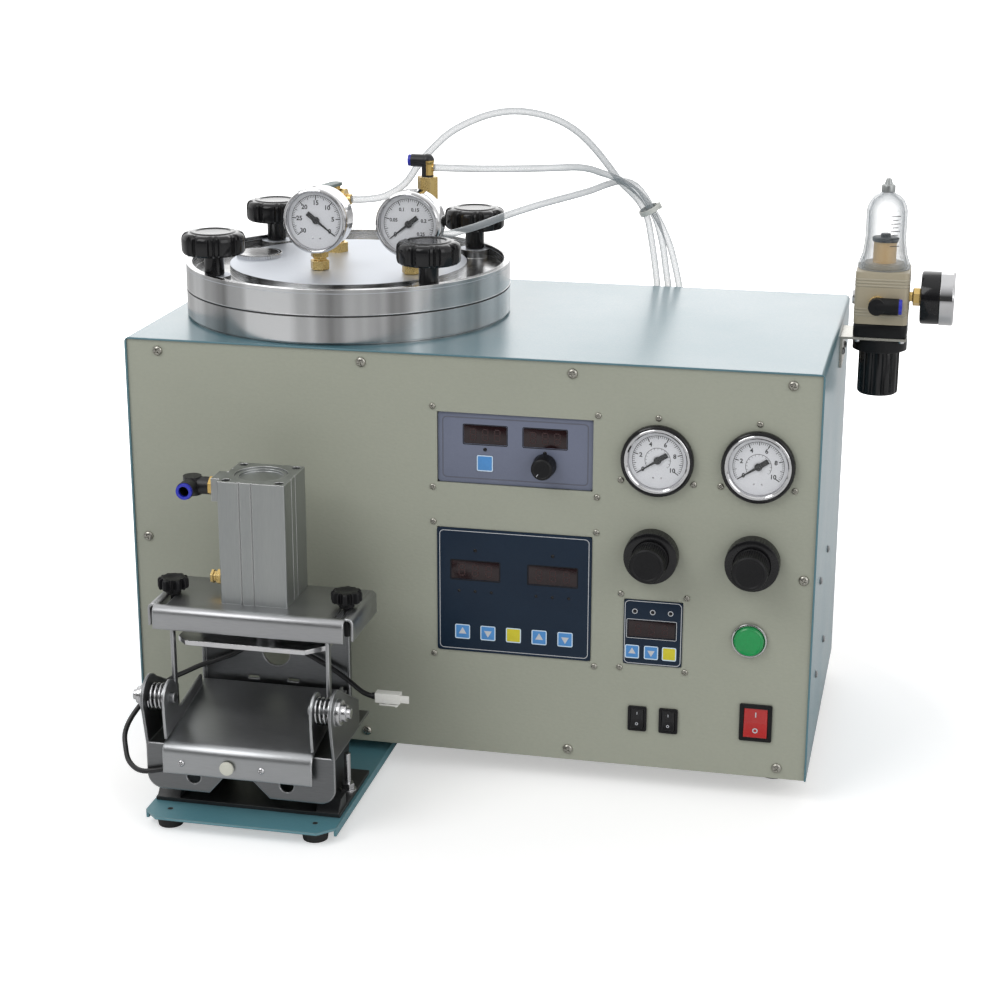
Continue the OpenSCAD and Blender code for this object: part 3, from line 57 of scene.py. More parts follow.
# each way: where a piece's own level line goes, and where its own axis points
ways = {
    "up": ((1, 0, 0), (0, 0, 1)),
    "down": ((-1, 0, 0), (0, 0, -1)),
    "front": ((1, 0, 0), (0, -1, 0)),
    "right": ((0, 1, 0), (1, 0, 0)),
    "left": ((0, -1, 0), (-1, 0, 0)),
    "back": ((-1, 0, 0), (0, 1, 0)),
}


def point(x, y, z):
    return Vector(((x - origin["x"]) / 1000, (y - origin["y"]) / 1000, (z + origin["foot"]) / 1000))


def clearSelection():
    if bpy.context.object and bpy.context.object.mode != "OBJECT":
        bpy.ops.object.mode_set(mode="OBJECT")
    bpy.ops.object.select_all(action="DESELECT")


def pick(obj):
    clearSelection()
    obj.select_set(True)
    bpy.context.view_layer.objects.active = obj


# ---- shader nodes: a feed is either a plain value or the socket that it comes from ----
def feed(tree, node, feeds):
    for label, value in feeds.items():
        if isinstance(value, bpy.types.NodeSocket):
            tree.links.new(value, node.inputs[label])
        else:
            node.inputs[label].default_value = value


def addNode(tree, kind, feeds=None, **settings):
    node = tree.nodes.new("ShaderNode" + kind)
    for label, value in settings.items():
        setattr(node, label, value)
    feed(tree, node, feeds or {})
    return node


def mathOf(tree, operation, *values):
    return addNode(tree, "Math", dict(enumerate(values)), operation=operation).outputs[0]


def vectorOf(tree, operation, *values, gives=0):
    return addNode(tree, "VectorMath", dict(enumerate(values)), operation=operation).outputs[gives]


def spanOf(tree, value, low, high, toLow=0, toHigh=1):
    feeds = {"Value": value, "From Min": low, "From Max": high, "To Min": toLow, "To Max": toHigh}
    return addNode(tree, "MapRange", feeds).outputs["Result"]


def noiseOf(tree, vector, scale, detail):
    return addNode(tree, "TexNoise", {"Vector": vector, "Scale": scale, "Detail": detail}).outputs["Fac"]


def placeOf(tree, kind="Object"):
    return addNode(tree, "TexCoord").outputs[kind]


def mixColour(tree, mask, a, b):
    first, second = ((*value, 1) if isinstance(value, tuple) else value for value in (a, b))
    return addNode(tree, "Mix", {"A": first, "B": second, "Factor": mask}, data_type="RGBA").outputs["Result"]


# ---- camera, lamps and floor ----
camera = {
    "at": (640.93, -1533.51, 707.40),
    "yaw": math.radians(12.3756),
    "pitch": math.radians(17.438),
    "roll": math.radians(0.15385),
    "lens": 76.316,
}
yaw, pitch, roll = camera["yaw"], camera["pitch"], camera["roll"]
look = Vector((-math.sin(yaw) * math.cos(pitch), math.cos(yaw) * math.cos(pitch), -math.sin(pitch)))
level = Vector((math.cos(yaw), math.sin(yaw), 0))
rise = level.cross(look)
side = level * math.cos(roll) + rise * math.sin(roll)
top = -level * math.sin(roll) + rise * math.cos(roll)
clearSelection()
bpy.ops.object.camera_add()
cam = bpy.context.object
cam.name = "photoCamera"
cam.data.lens = camera["lens"]
cam.data.sensor_width = 36
cam.data.clip_end = 60
cam.matrix_world = Matrix((side, top, -look)).transposed().to_4x4()
cam.location = point(*camera["at"])
bpy.context.scene.camera = cam
bpy.context.scene.view_settings.view_transform = "Standard"

lamps = {
    "key": {"at": (-1.3, -1.7, 2.2), "size": 1.6, "power": 26, "aim": (0, 0, 0.2)},
    "fill": {"at": (2.1, -1.5, 1.5), "size": 1.8, "power": 15, "aim": (0.1, 0, 0.2)},
    "rear": {"at": (-0.35, 2.4, 1.45), "size": 2.3, "power": 15, "aim": (0, 0.1, 0.4)},
}
for name, lamp in lamps.items():
    bpy.ops.object.light_add(type="AREA", location=lamp["at"])
    light = bpy.context.object
    light.name = name + "Lamp"
    light.data.size = lamp["size"]
    light.data.energy = lamp["power"]
    light.visible_camera = False
    light.rotation_euler = (Vector(lamp["aim"]) - Vector(lamp["at"])).to_track_quat("-Z", "Y").to_euler()

world = bpy.data.worlds.new("studio")
bpy.context.scene.world = world
world.use_nodes = True
room = world.node_tree
# what shines back is dark towards the viewer and bright above and behind, like the room of the photograph
roomSpans = {"Y": (-0.75, 0.15), "Z": (0.3, 0.95), "X": (0.25, 0.95)}
roomLevel = {"dark": 0.06, "bright": 1.1}
softLevel = 0.5
rays = addNode(room, "LightPath").outputs
roomWay = addNode(room, "SeparateXYZ", {0: placeOf(room, "Generated")}).outputs
back, above, beside = (spanOf(room, roomWay[axis], *span) for axis, span in roomSpans.items())
brightness = mathOf(room, "MAXIMUM", mathOf(room, "MAXIMUM", back, above), beside)
shine = spanOf(room, brightness, 0, 1, roomLevel["dark"], roomLevel["bright"])
seen = mathOf(room, "MAXIMUM", rays["Is Camera Ray"], rays["Is Transmission Ray"])
mirrored = mathOf(room, "MULTIPLY", rays["Is Glossy Ray"], shine)
# rays that only carry soft light get a plain level
soft = mathOf(room, "MULTIPLY", rays["Is Diffuse Ray"], softLevel)
strength = mathOf(room, "MAXIMUM", mathOf(room, "MAXIMUM", seen, mirrored), soft)
feed(room, room.nodes["Background"], {"Color": (1, 1, 1, 1), "Strength": strength})

bpy.ops.mesh.primitive_plane_add(size=40, location=(0, 0, -0.0004))
floor = bpy.context.object
floor.name = "floor"
floorPaint = bpy.data.materials.new("floorPaint")
floorPaint.use_nodes = True
tree = floorPaint.node_tree
# to the camera the floor grows to white from near the machine to far from it, both in metres
floorGlow = {"near": 0.35, "far": 0.75, "nearLevel": 0.42, "farLevel": 1.2}
away = vectorOf(tree, "LENGTH", placeOf(tree), gives="Value")
glow = mathOf(tree, "MULTIPLY", addNode(tree, "LightPath").outputs["Is Camera Ray"], spanOf(tree, away,
    *floorGlow.values()))
feed(tree, tree.nodes["Principled BSDF"], {
    "Base Color": (0.86, 0.86, 0.86, 1), "Roughness": 0.7, "Emission Color": (1, 1, 1, 1), "Emission Strength": glow})
floor.data.materials.append(floorPaint)
print("stage: camera, floor and lamps")


# ---- shader groups that several finishes share ----
def newGroup(name, takes, gives):
    group = bpy.data.node_groups.new(name, "ShaderNodeTree")
    for label, kind, value in takes:
        socket = group.interface.new_socket(name=label, in_out="INPUT", socket_type="NodeSocket" + kind)
        if value is not None:
            socket.default_value = value
    for label, kind in gives:
        group.interface.new_socket(name=label, in_out="OUTPUT", socket_type="NodeSocket" + kind)
    return group, group.nodes.new("NodeGroupInput").outputs, group.nodes.new("NodeGroupOutput")


# uneven tone: slow patches and fine speckle together, 0 to 1
slowShare, fineShare = 0.6, 0.4
unevenTone, enter, leave = newGroup(
    "unevenTone", [("Vector", "Vector", None), ("Slow", "Float", 12), ("Fine", "Float", 900)], [("Mask", "Float")])
slow = noiseOf(unevenTone, enter["Vector"], enter["Slow"], 3)
fine = noiseOf(unevenTone, enter["Vector"], enter["Fine"], 2)
speckle = mathOf(unevenTone, "MULTIPLY", fine, fineShare)
feed(unevenTone, leave, {"Mask": mathOf(unevenTone, "MULTIPLY_ADD", slow, slowShare, speckle)})

# grain: a fine relief laid over whatever normal comes in
grain, enter, leave = newGroup(
    "grain", [("Vector", "Vector", None), ("Scale", "Float", 900), ("Strength", "Float", 0.3),
              ("Depth", "Float", 0.0002), ("Normal", "Vector", None)], [("Normal", "Vector")])
relief = noiseOf(grain, enter["Vector"], enter["Scale"], 3)
bump = addNode(grain, "Bump", {
    "Height": relief, "Strength": enter["Strength"], "Distance": enter["Depth"], "Normal": enter["Normal"]})
feed(grain, leave, {"Normal": bump.outputs["Normal"]})

# soft edge: rounds the shading of sharp edges and says where they are
# wear runs from none to full as the rounded normal leaves the flat one, told by the cosine between them
wearSpan = (0.995, 0.86)
softEdge, enter, leave = newGroup("softEdge", [("Radius", "Float", 0.0008)], [("Normal", "Vector"), ("Wear",
    "Float")])
rounder = addNode(softEdge, "Bevel", {"Radius": enter["Radius"]}, samples=6).outputs["Normal"]
plain = addNode(softEdge, "NewGeometry").outputs["Normal"]
cosine = vectorOf(softEdge, "DOT_PRODUCT", rounder, plain, gives="Value")
feed(softEdge, leave, {"Normal": rounder, "Wear": spanOf(softEdge, cosine, *wearSpan)})

# lathe lines: turns a place into its distance from an upright axis, so a noise on it draws rings; it also gives the
# way around the axis, on which a noise draws painted reflection bands
latheLines, enter, leave = newGroup(
    "latheLines", [("Vector", "Vector", None), ("Centre", "Vector", (0, 0, 0))],
    [("Vector", "Vector"), ("Around", "Vector")])
away = vectorOf(latheLines, "SUBTRACT", enter["Vector"], enter["Centre"])
flat = vectorOf(latheLines, "MULTIPLY", away, (1, 1, 0))
height = addNode(latheLines, "SeparateXYZ", {0: away}).outputs["Z"]
reach = vectorOf(latheLines, "LENGTH", flat, gives="Value")
ringPlace = addNode(latheLines, "CombineXYZ", {"X": reach, "Y": height}).outputs[0]
feed(latheLines, leave, {"Vector": ringPlace, "Around": vectorOf(latheLines, "NORMALIZE", flat)})

# what a finish has where it says nothing else
plainFinish = dict(
    stretch=(1, 1, 1), slow=12, fine=900, rough=(0.4, 0.5), edge=0.0006, grain=900, relief=0.2, depth=0.0002,
    metal=0, coat=0, coatRough=0.1, specular=0.5, alpha=1, glow=(0, 0, 0), glowPower=0)
# the second span sets how sharp the painted reflection bands on turned pieces are
toneSpan, reflectionBandSpan = (0.36, 0.64), (0.4, 0.6)


# a finish: tone from one colour to another, grain, worn edges and an uneven gloss; turned pieces also get painted
# reflection bands around their axis
def finishOf(name, spec):
    spec = {**plainFinish, **spec}
    mat = bpy.data.materials.new(name)
    mat.use_nodes = True
    tree = mat.node_tree
    place = placeOf(tree)
    vector = addNode(tree, "Mapping", {"Vector": place, "Scale": spec["stretch"]}).outputs["Vector"]
    if "lathe" in spec:
        turning = addNode(tree, "Group", node_tree=latheLines)
        feed(tree, turning, {"Vector": place, "Centre": tuple(spec["lathe"])})
        vector = turning.outputs["Vector"]
    tone = addNode(tree, "Group", {"Vector": vector, "Slow": spec["slow"], "Fine": spec["fine"]},
        node_tree=unevenTone)
    level = spanOf(tree, tone.outputs["Mask"], *toneSpan)
    colour = mixColour(tree, level, spec["base"], spec["second"])
    if "lathe" in spec:
        # painted reflection: darker bands around the axis stand in for the room mirrored unevenly in the turned side
        reflectionBands = noiseOf(tree, turning.outputs["Around"], spec["reflectionBands"], 3)
        colour = mixColour(tree, spanOf(tree, reflectionBands, *reflectionBandSpan), colour, spec["reflectionBandColour"])
    edge = addNode(tree, "Group", {"Radius": spec["edge"]}, node_tree=softEdge).outputs
    if "worn" in spec:
        colour = mixColour(tree, edge["Wear"], colour, spec["worn"])
    surface = addNode(tree, "Group", {
        "Vector": vector, "Scale": spec["grain"], "Strength": spec["relief"], "Depth": spec["depth"],
        "Normal": edge["Normal"]}, node_tree=grain)
    feed(tree, tree.nodes["Principled BSDF"], {"Base Color": colour,
        "Roughness": spanOf(tree, level, 0, 1, *spec["rough"]), "Normal": surface.outputs["Normal"],
        "Metallic": spec["metal"], "Coat Weight": spec["coat"], "Coat Roughness": spec["coatRough"],
        "Specular IOR Level": spec["specular"], "Alpha": spec["alpha"], "Emission Color": (*spec["glow"], 1),
        "Emission Strength": spec["glowPower"]})
    return mat


potAxis = (145, 138.5)
potCentre = point(*potAxis, 0)
finishes = {
    "tealCoat": dict(base=(0.065, 0.17, 0.21), second=(0.08, 0.2, 0.245), slow=8, fine=700, rough=(0.3, 0.4),
        grain=650, relief=0.3, depth=0.0004, coat=0.6, coatRough=0.22, specular=0.6, edge=0.0012,
        worn=(0.09, 0.21, 0.25)),
    "panelPaint": dict(base=(0.345, 0.36, 0.295), second=(0.375, 0.39, 0.32), slow=6, fine=420, rough=(0.42, 0.52),
        grain=380, stretch=(0.7, 1, 1.3), relief=0.4, depth=0.0004, edge=0.0004),
    "basePaint": dict(base=(0.1, 0.26, 0.31), second=(0.12, 0.3, 0.355), slow=8, fine=500, rough=(0.34, 0.44),
        specular=0.8, grain=450, relief=0.45, depth=0.0004, edge=0.0012, worn=(0.12, 0.2, 0.21)),
    "backPaint": dict(base=(0.3, 0.305, 0.25), second=(0.32, 0.325, 0.27), rough=(0.45, 0.55), grain=380, relief=0.3,
        depth=0.0003, edge=0.0005),
    # turned aluminium: the dark bands around the pot's axis are painted reflection, not turning marks
    "turnedAluminium": dict(base=(0.66, 0.67, 0.68), second=(0.72, 0.725, 0.73), metal=1, rough=(0.2, 0.28),
        lathe=potCentre, slow=90, fine=1500, grain=1800, relief=0.05, depth=0.0001, reflectionBands=2.3,
        reflectionBandColour=(0.2, 0.2, 0.2), edge=0.0007, worn=(0.8, 0.8, 0.8)),
    "castAluminium": dict(base=(0.33, 0.345, 0.345), second=(0.39, 0.405, 0.4), metal=1, rough=(0.36, 0.46),
        stretch=(1, 1, 0.06), slow=60, fine=1500, grain=1400, relief=0.12, depth=0.0001, edge=0.0006,
        worn=(0.8, 0.8, 0.8)),
    "steelSheet": dict(base=(0.36, 0.365, 0.375), second=(0.43, 0.435, 0.445), metal=1, rough=(0.3, 0.42),
        stretch=(0.08, 1, 1), slow=30, fine=1400, grain=1600, relief=0.1, depth=0.0001, edge=0.002,
        worn=(0.6, 0.61, 0.62)),
    "darkSteel": dict(base=(0.16, 0.165, 0.17), second=(0.21, 0.215, 0.22), metal=1, rough=(0.32, 0.45),
        stretch=(0.08, 1, 1), slow=20, fine=1400, grain=1600, relief=0.1, depth=0.0001, edge=0.002,
        worn=(0.5, 0.51, 0.52)),
    "traySteel": dict(base=(0.4, 0.41, 0.42), second=(0.46, 0.47, 0.48), metal=1, rough=(0.34, 0.46),
        stretch=(0.08, 1, 1), slow=24, fine=1400, grain=1500, relief=0.15, depth=0.0001, edge=0.002,
        worn=(0.7, 0.71, 0.72)),
    "brightSteel": dict(base=(0.55, 0.55, 0.56), second=(0.65, 0.65, 0.66), metal=1, rough=(0.16, 0.26), slow=60,
        grain=2000, relief=0.08, depth=0.0001, edge=0.0004),
    "zincPlate": dict(base=(0.34, 0.33, 0.29), second=(0.42, 0.41, 0.37), metal=1, rough=(0.22, 0.34), slow=60,
        grain=2000, relief=0.08, depth=0.0001, edge=0.0004),
    "chrome": dict(base=(0.55, 0.55, 0.56), second=(0.6, 0.6, 0.61), metal=1, rough=(0.05, 0.1), slow=40, grain=1200,
        relief=0.03, depth=0.0001, edge=0.0004),
    "brass": dict(base=(0.62, 0.43, 0.15), second=(0.7, 0.52, 0.22), metal=1, rough=(0.2, 0.34), slow=60, grain=1500,
        relief=0.1, depth=0.0001, edge=0.0005, worn=(0.85, 0.7, 0.4)),
    "glossBlack": dict(base=(0.008, 0.008, 0.009), second=(0.014, 0.014, 0.015), rough=(0.09, 0.17), slow=30,
        grain=1200, relief=0.05, depth=0.0001, specular=0.35),
    "satinBlack": dict(base=(0.007, 0.007, 0.008), second=(0.013, 0.013, 0.014), rough=(0.36, 0.46), slow=40,
        specular=0.2, grain=1400, relief=0.15, depth=0.0001, edge=0.0005, worn=(0.05, 0.05, 0.05)),
    "blackPaint": dict(base=(0.01, 0.011, 0.012), second=(0.02, 0.021, 0.022), rough=(0.3, 0.45), slow=20, grain=700,
        edge=0.0008, worn=(0.05, 0.05, 0.05)),
    "rubber": dict(base=(0.012, 0.012, 0.012), second=(0.022, 0.022, 0.021), rough=(0.6, 0.75), slow=40, grain=1500,
        relief=0.3, edge=0.001, worn=(0.04, 0.04, 0.04)),
    "cableSkin": dict(base=(0.008, 0.008, 0.009), second=(0.014, 0.014, 0.015), rough=(0.3, 0.4), slow=60, grain=900,
        relief=0.08, depth=0.0001, edge=0.0003),
    "dialPaper": dict(base=(0.72, 0.73, 0.76), second=(0.75, 0.76, 0.79), rough=(0.45, 0.55), slow=60, grain=1800,
        relief=0.05, depth=0.0001, edge=0.0002),
    "dialInk": dict(base=(0.008, 0.008, 0.008), second=(0.012, 0.012, 0.012), rough=(0.5, 0.6), specular=0.15,
        edge=0.0001),
    "discMatt": dict(base=(0.56, 0.59, 0.64), second=(0.62, 0.65, 0.7), metal=0.6, rough=(0.4, 0.5)),
    "navyFilm": dict(base=(0.007, 0.018, 0.038), second=(0.009, 0.022, 0.044), rough=(0.3, 0.38), slow=30,
        specular=0.25, grain=1500, relief=0.1, depth=0.0001, edge=0.0003),
    "greyFilm": dict(base=(0.15, 0.17, 0.24), second=(0.165, 0.185, 0.26), rough=(0.3, 0.4), slow=20, grain=1500,
        relief=0.08, depth=0.0001, edge=0.0003),
    "greyFrame": dict(base=(0.1, 0.11, 0.15), second=(0.12, 0.13, 0.17), rough=(0.35, 0.45), edge=0.0003),
    "displayRed": dict(base=(0.012, 0.004, 0.005), second=(0.018, 0.006, 0.007), rough=(0.1, 0.16), edge=0.0002),
    "segmentDim": dict(base=(0.028, 0.007, 0.008), second=(0.032, 0.009, 0.009), rough=(0.2, 0.3), edge=0.0001),
    "printWhite": dict(base=(0.55, 0.57, 0.6), second=(0.6, 0.62, 0.65), rough=(0.4, 0.5), edge=0.0001),
    "keyBlue": dict(base=(0.07, 0.26, 0.6), second=(0.08, 0.29, 0.65), rough=(0.3, 0.4), edge=0.0003),
    "keyYellow": dict(base=(0.62, 0.55, 0.02), second=(0.68, 0.6, 0.03), rough=(0.3, 0.4), edge=0.0003),
    "keyLight": dict(base=(0.6, 0.75, 0.9), second=(0.65, 0.8, 0.93), rough=(0.35, 0.45), edge=0.0001),
    # green cap: its faint glow is painted light, given to a cap whose lamp is not lit
    "greenPaintedGlow": dict(base=(0.003, 0.22, 0.055), second=(0.005, 0.27, 0.07), rough=(0.12, 0.2), slow=60, coat=0.2,
        edge=0.0004, glow=(0.0, 0.2, 0.04), glowPower=0.2),
    "lampRed": dict(base=(0.42, 0.012, 0.012), second=(0.5, 0.02, 0.018), rough=(0.14, 0.22), coat=0.4, edge=0.0005),
    "colletBlue": dict(base=(0.02, 0.03, 0.45), second=(0.03, 0.04, 0.52), rough=(0.2, 0.3), edge=0.0004),
    "nylonWhite": dict(base=(0.72, 0.72, 0.68), second=(0.78, 0.78, 0.74), rough=(0.35, 0.45), edge=0.0003),
    "buttonCream": dict(base=(0.6, 0.6, 0.52), second=(0.66, 0.66, 0.58), rough=(0.4, 0.5), edge=0.0004),
    "capWhite": dict(base=(0.62, 0.64, 0.68), second=(0.68, 0.7, 0.74), rough=(0.3, 0.42), metal=0.3, edge=0.0005),
    "filterBody": dict(base=(0.4, 0.35, 0.25), second=(0.44, 0.385, 0.28), rough=(0.35, 0.45), slow=30, grain=700,
        relief=0.15, edge=0.0008, worn=(0.45, 0.43, 0.35)),
    "filterFelt": dict(base=(0.78, 0.5, 0.2), second=(0.85, 0.6, 0.28), rough=(0.6, 0.75), slow=200, relief=0.4,
        depth=0.0003, stretch=(1, 1, 0.2), edge=0.0003),
    "leverCoat": dict(base=(0.16, 0.22, 0.21), second=(0.16, 0.2, 0.195), rough=(0.4, 0.5), edge=0.0008,
        worn=(0.4, 0.42, 0.42)),
    "boardGreen": dict(base=(0.01, 0.09, 0.04), second=(0.015, 0.11, 0.05), rough=(0.3, 0.4), edge=0.0003),
    "gaugeGlass": dict(base=(0.9, 0.92, 0.95), second=(0.92, 0.94, 0.97), rough=(0.02, 0.05), alpha=0.035,
        edge=0.0003),
}
mats = {name: finishOf(name, spec) for name, spec in finishes.items()}

# clear walls: thin in the middle, thick and darker along their outline
facingBlend = 0.4
clearWalls = {
    "hoseClear": dict(base=(0.4, 0.43, 0.45), second=(0.5, 0.53, 0.55), rough=(0.06, 0.14), middle=0.4, outline=0.97),
    "clearBowl": dict(base=(0.4, 0.44, 0.47), second=(0.46, 0.5, 0.53), rough=(0.04, 0.1), middle=0.1, outline=0.85),
}
for name, spec in clearWalls.items():
    mats[name] = finishOf(name, spec)
    tree = mats[name].node_tree
    facing = addNode(tree, "LayerWeight", {"Blend": facingBlend}).outputs["Facing"]
    wall = spanOf(tree, facing, 0, 1, spec["middle"], spec["outline"])
    feed(tree, tree.nodes["Principled BSDF"], {"Alpha": wall})


# one CAD node that carries several finishes: each is given with the box that it fills, in drawing millimetres
def patchwork(name, base, patches):
    mat = finishOf(name, finishes[base])
    tree = mat.node_tree
    shader = tree.nodes["Principled BSDF"]
    place = placeOf(tree)
    for low, high, finish in patches:
        spec = {**plainFinish, **finishes[finish]}
        inside = 1
        for corner, kind in ((low, "GREATER_THAN"), (high, "LESS_THAN")):
            axes = addNode(tree, "SeparateXYZ", {0: place}).outputs
            for axis, limit in zip("XYZ", point(*corner)):
                inside = mathOf(tree, "MULTIPLY", inside, mathOf(tree, kind, axes[axis], limit))
        before = shader.inputs["Base Color"].links[0].from_socket
        feed(tree, shader, {"Base Color": mixColour(tree, inside, before, spec["base"])})
        for label, value in (("Roughness", sum(spec["rough"]) / 2), ("Metallic", spec["metal"])):
            socket = shader.inputs[label]
            before = socket.links[0].from_socket if socket.is_linked else socket.default_value
            mix = addNode(tree, "Mix", {"A": before, "B": value, "Factor": inside})
            feed(tree, shader, {label: mix.outputs["Result"]})
    return mat


print("stage: finishes", len(mats))


# ---- modelling helpers, all in millimetres ----
def settle(obj, at=(0, 0, 0), way="up", turn=0.0, lean=0.0):
    # turn is about the piece's own axis, lean tips it about its own level line, both in degrees
    across, facing = (Vector(v) for v in (ways[way] if isinstance(way, str) else way))
    stand = Matrix((across, facing.cross(across), facing)).transposed().to_4x4()
    spin = Matrix.Rotation(math.radians(lean), 4, "X") @ Matrix.Rotation(math.radians(turn), 4, "Z")
    pick(obj)
    obj.matrix_world = Matrix.Translation(point(*at)) @ stand @ spin @ obj.matrix_world
    bpy.ops.object.transform_apply()
    return obj


def edit(obj):
    pick(obj)
    bpy.ops.object.mode_set(mode="EDIT")
    bpy.ops.mesh.select_all(action="SELECT")


def objectMode():
    bpy.ops.object.mode_set(mode="OBJECT")


# names the primitive that was just added and settles its scale and place in its mesh
def started(name, scale=(1, 1, 1)):
    obj = bpy.context.object
    obj.name = name
    obj.scale = scale
    bpy.ops.object.transform_apply()
    return obj


# in edit mode: selects the points that pass a test on their place
def selectWhere(obj, test):
    mesh = bmesh.from_edit_mesh(obj.data)
    for vert in mesh.verts:
        vert.select_set(test(vert.co))
    mesh.select_flush_mode()
    bmesh.update_edit_mesh(obj.data)


# one skin without double points, facing outwards
def closeSkin(obj):
    edit(obj)
    bpy.ops.mesh.remove_doubles(threshold=1e-6)
    bpy.ops.mesh.normals_make_consistent(inside=False)
    objectMode()


def smoothBy(obj, angle=32):
    pick(obj)
    bpy.ops.object.shade_smooth_by_angle(angle=math.radians(angle))
    return obj


def soften(obj, width, segments=2, angle=28):
    pick(obj)
    bevel = obj.modifiers.new("soften", "BEVEL")
    bevel.width = width / 1000
    bevel.segments = segments
    bevel.limit_method = "ANGLE"
    bevel.angle_limit = math.radians(angle)
    bpy.ops.object.modifier_apply(modifier=bevel.name)
    return smoothBy(obj)


def shift(obj, x=0.0, y=0.0, z=0.0, turn=0.0):
    pick(obj)
    obj.location = (x / 1000, y / 1000, z / 1000)
    obj.rotation_euler = (0, 0, math.radians(turn))
    bpy.ops.object.transform_apply()
    return obj


# a turned piece: rings of (radius, height), each extruded from the one before
def turned(name, profile, sides=64, hollow=False, smooth=32):
    clearSelection()
    radius, height = profile[0]
    fill = "NOTHING" if hollow else "NGON"
    bpy.ops.mesh.primitive_circle_add(
        vertices=sides, radius=radius / 1000, location=(0, 0, height / 1000), fill_type=fill)
    obj = started(name)
    edit(obj)
    for (r0, h0), (r1, h1) in zip(profile, profile[1:]):
        bpy.ops.mesh.extrude_region_move(TRANSFORM_OT_translate={"value": (0, 0, (h1 - h0) / 1000)})
        if abs(r1 - r0) > 1e-6:
            bpy.ops.transform.resize(value=(r1 / r0, r1 / r0, 1), center_override=(0, 0, h1 / 1000))
    closeSkin(obj)
    return smoothBy(obj, smooth)


# presses valleys into a turned piece: every lobe has the same shares of its radius
def fluted(obj, lobes, shares, low, high, inner=0.0):
    edit(obj)
    places = 2 * len(shares)
    step = 2 * math.pi / (lobes * places)
    for index, share in enumerate(shares):
        def pressed(co):
            place = round(math.atan2(co.y, co.x) / step) % places
            reach = math.hypot(co.x, co.y) * 1000
            return min(place, places - place) == index and low <= co.z * 1000 <= high and reach > inner

        selectWhere(obj, pressed)
        bpy.ops.transform.resize(value=(share, share, 1), center_override=(0, 0, 0))
    objectMode()
    return smoothBy(obj)


# bevels the upright edges that lie beyond a given place along x, in metres
def bevelUprights(obj, width, steps, beyond, way=1):
    edit(obj)
    bpy.ops.mesh.select_mode(type="EDGE")
    bpy.ops.mesh.select_all(action="DESELECT")
    mesh = bmesh.from_edit_mesh(obj.data)
    for line in mesh.edges:
        a, b = (vert.co for vert in line.verts)
        if abs(a.z - b.z) > 1e-5 and way * a.x > beyond and abs(a.x - b.x) + abs(a.y - b.y) < 1e-6:
            line.select_set(True)
    bmesh.update_edit_mesh(obj.data)
    bpy.ops.mesh.bevel(offset=width / 1000, segments=steps, affect="EDGES")
    bpy.ops.mesh.select_mode(type="VERT")
    objectMode()


# a block about its middle, standing on height 0, with round upright corners and soft edges
def block(name, size, corner=0.0, edge=0.3, steps=4):
    clearSelection()
    bpy.ops.mesh.primitive_cube_add(size=1, location=(0, 0, size[2] / 2000))
    obj = started(name, [side / 1000 for side in size])
    if corner:
        bevelUprights(obj, corner, steps, -1)
    if edge:
        soften(obj, edge)
    return smoothBy(obj)


def joined(name, parts):
    clearSelection()
    for part in parts:
        part.select_set(True)
    bpy.context.view_layer.objects.active = parts[0]
    if len(parts) > 1:
        bpy.ops.object.join()
    parts[0].name = name
    return parts[0]


def copyOf(obj, name):
    twin = obj.copy()
    twin.data = obj.data.copy()
    twin.name = name
    bpy.context.collection.objects.link(twin)
    return twin


def cutAway(obj, cutters):
    for cutter in cutters:
        pick(obj)
        away = obj.modifiers.new("away", "BOOLEAN")
        away.operation = "DIFFERENCE"
        away.solver = "EXACT"
        away.object = cutter
        bpy.ops.object.modifier_apply(modifier=away.name)
        bpy.data.objects.remove(cutter, do_unlink=True)
    return smoothBy(obj)


# a flat band between two circles, over part of a turn
def arcBand(name, outer, inner, start, sweep, height, steps=72):
    clearSelection()
    bpy.ops.mesh.primitive_circle_add(vertices=steps, radius=outer / 1000, location=(0, 0, height / 1000))
    obj = started(name)
    edit(obj)
    if sweep < 359:
        selectWhere(obj, lambda co: (start - math.degrees(math.atan2(co.y, co.x))) % 360 > sweep)
        bpy.ops.mesh.delete(type="VERT")
        bpy.ops.mesh.select_all(action="SELECT")
    bpy.ops.mesh.extrude_region_move(TRANSFORM_OT_translate={"value": (0, 0, 0)})
    bpy.ops.transform.resize(value=(inner / outer, inner / outer, 1), center_override=(0, 0, height / 1000))
    bpy.ops.mesh.select_all(action="SELECT")
    mesh = bmesh.from_edit_mesh(obj.data)
    mesh.normal_update()
    if sum(face.normal.z for face in mesh.faces) < 0:
        bpy.ops.mesh.flip_normals()
    objectMode()
    return obj


# the outline of a rectangle with round corners, as a flat line of the given width
def frameLine(name, width, depth, corner, line, height):
    clearSelection()
    bpy.ops.mesh.primitive_plane_add(size=1, location=(0, 0, height / 1000))
    obj = started(name, (width / 1000, depth / 1000, 1))
    edit(obj)
    if corner:
        bpy.ops.mesh.bevel(offset=corner / 1000, segments=5, affect="VERTICES")
        bpy.ops.mesh.select_all(action="SELECT")
    bpy.ops.mesh.inset(thickness=line / 1000)
    bpy.ops.mesh.delete(type="FACE")
    objectMode()
    return obj


# how far print stands up, in millimetres, and how much of its size a figure is fattened by
printThick, boldShare = 0.02, 0.03


def letters(name, body, size, x, y, height):
    clearSelection()
    bpy.ops.object.text_add()
    obj = bpy.context.object
    obj.data.body = body
    obj.data.size = size / 1000
    obj.data.align_x = "CENTER"
    obj.data.align_y = "CENTER"
    obj.data.extrude = printThick / 1000
    obj.data.offset = size * boldShare / 1000
    obj.data.resolution_u = 3
    obj.name = name
    bpy.ops.object.convert(target="MESH")
    obj = bpy.context.object
    obj.location = (x / 1000, y / 1000, height / 1000)
    bpy.ops.object.transform_apply()
    return obj


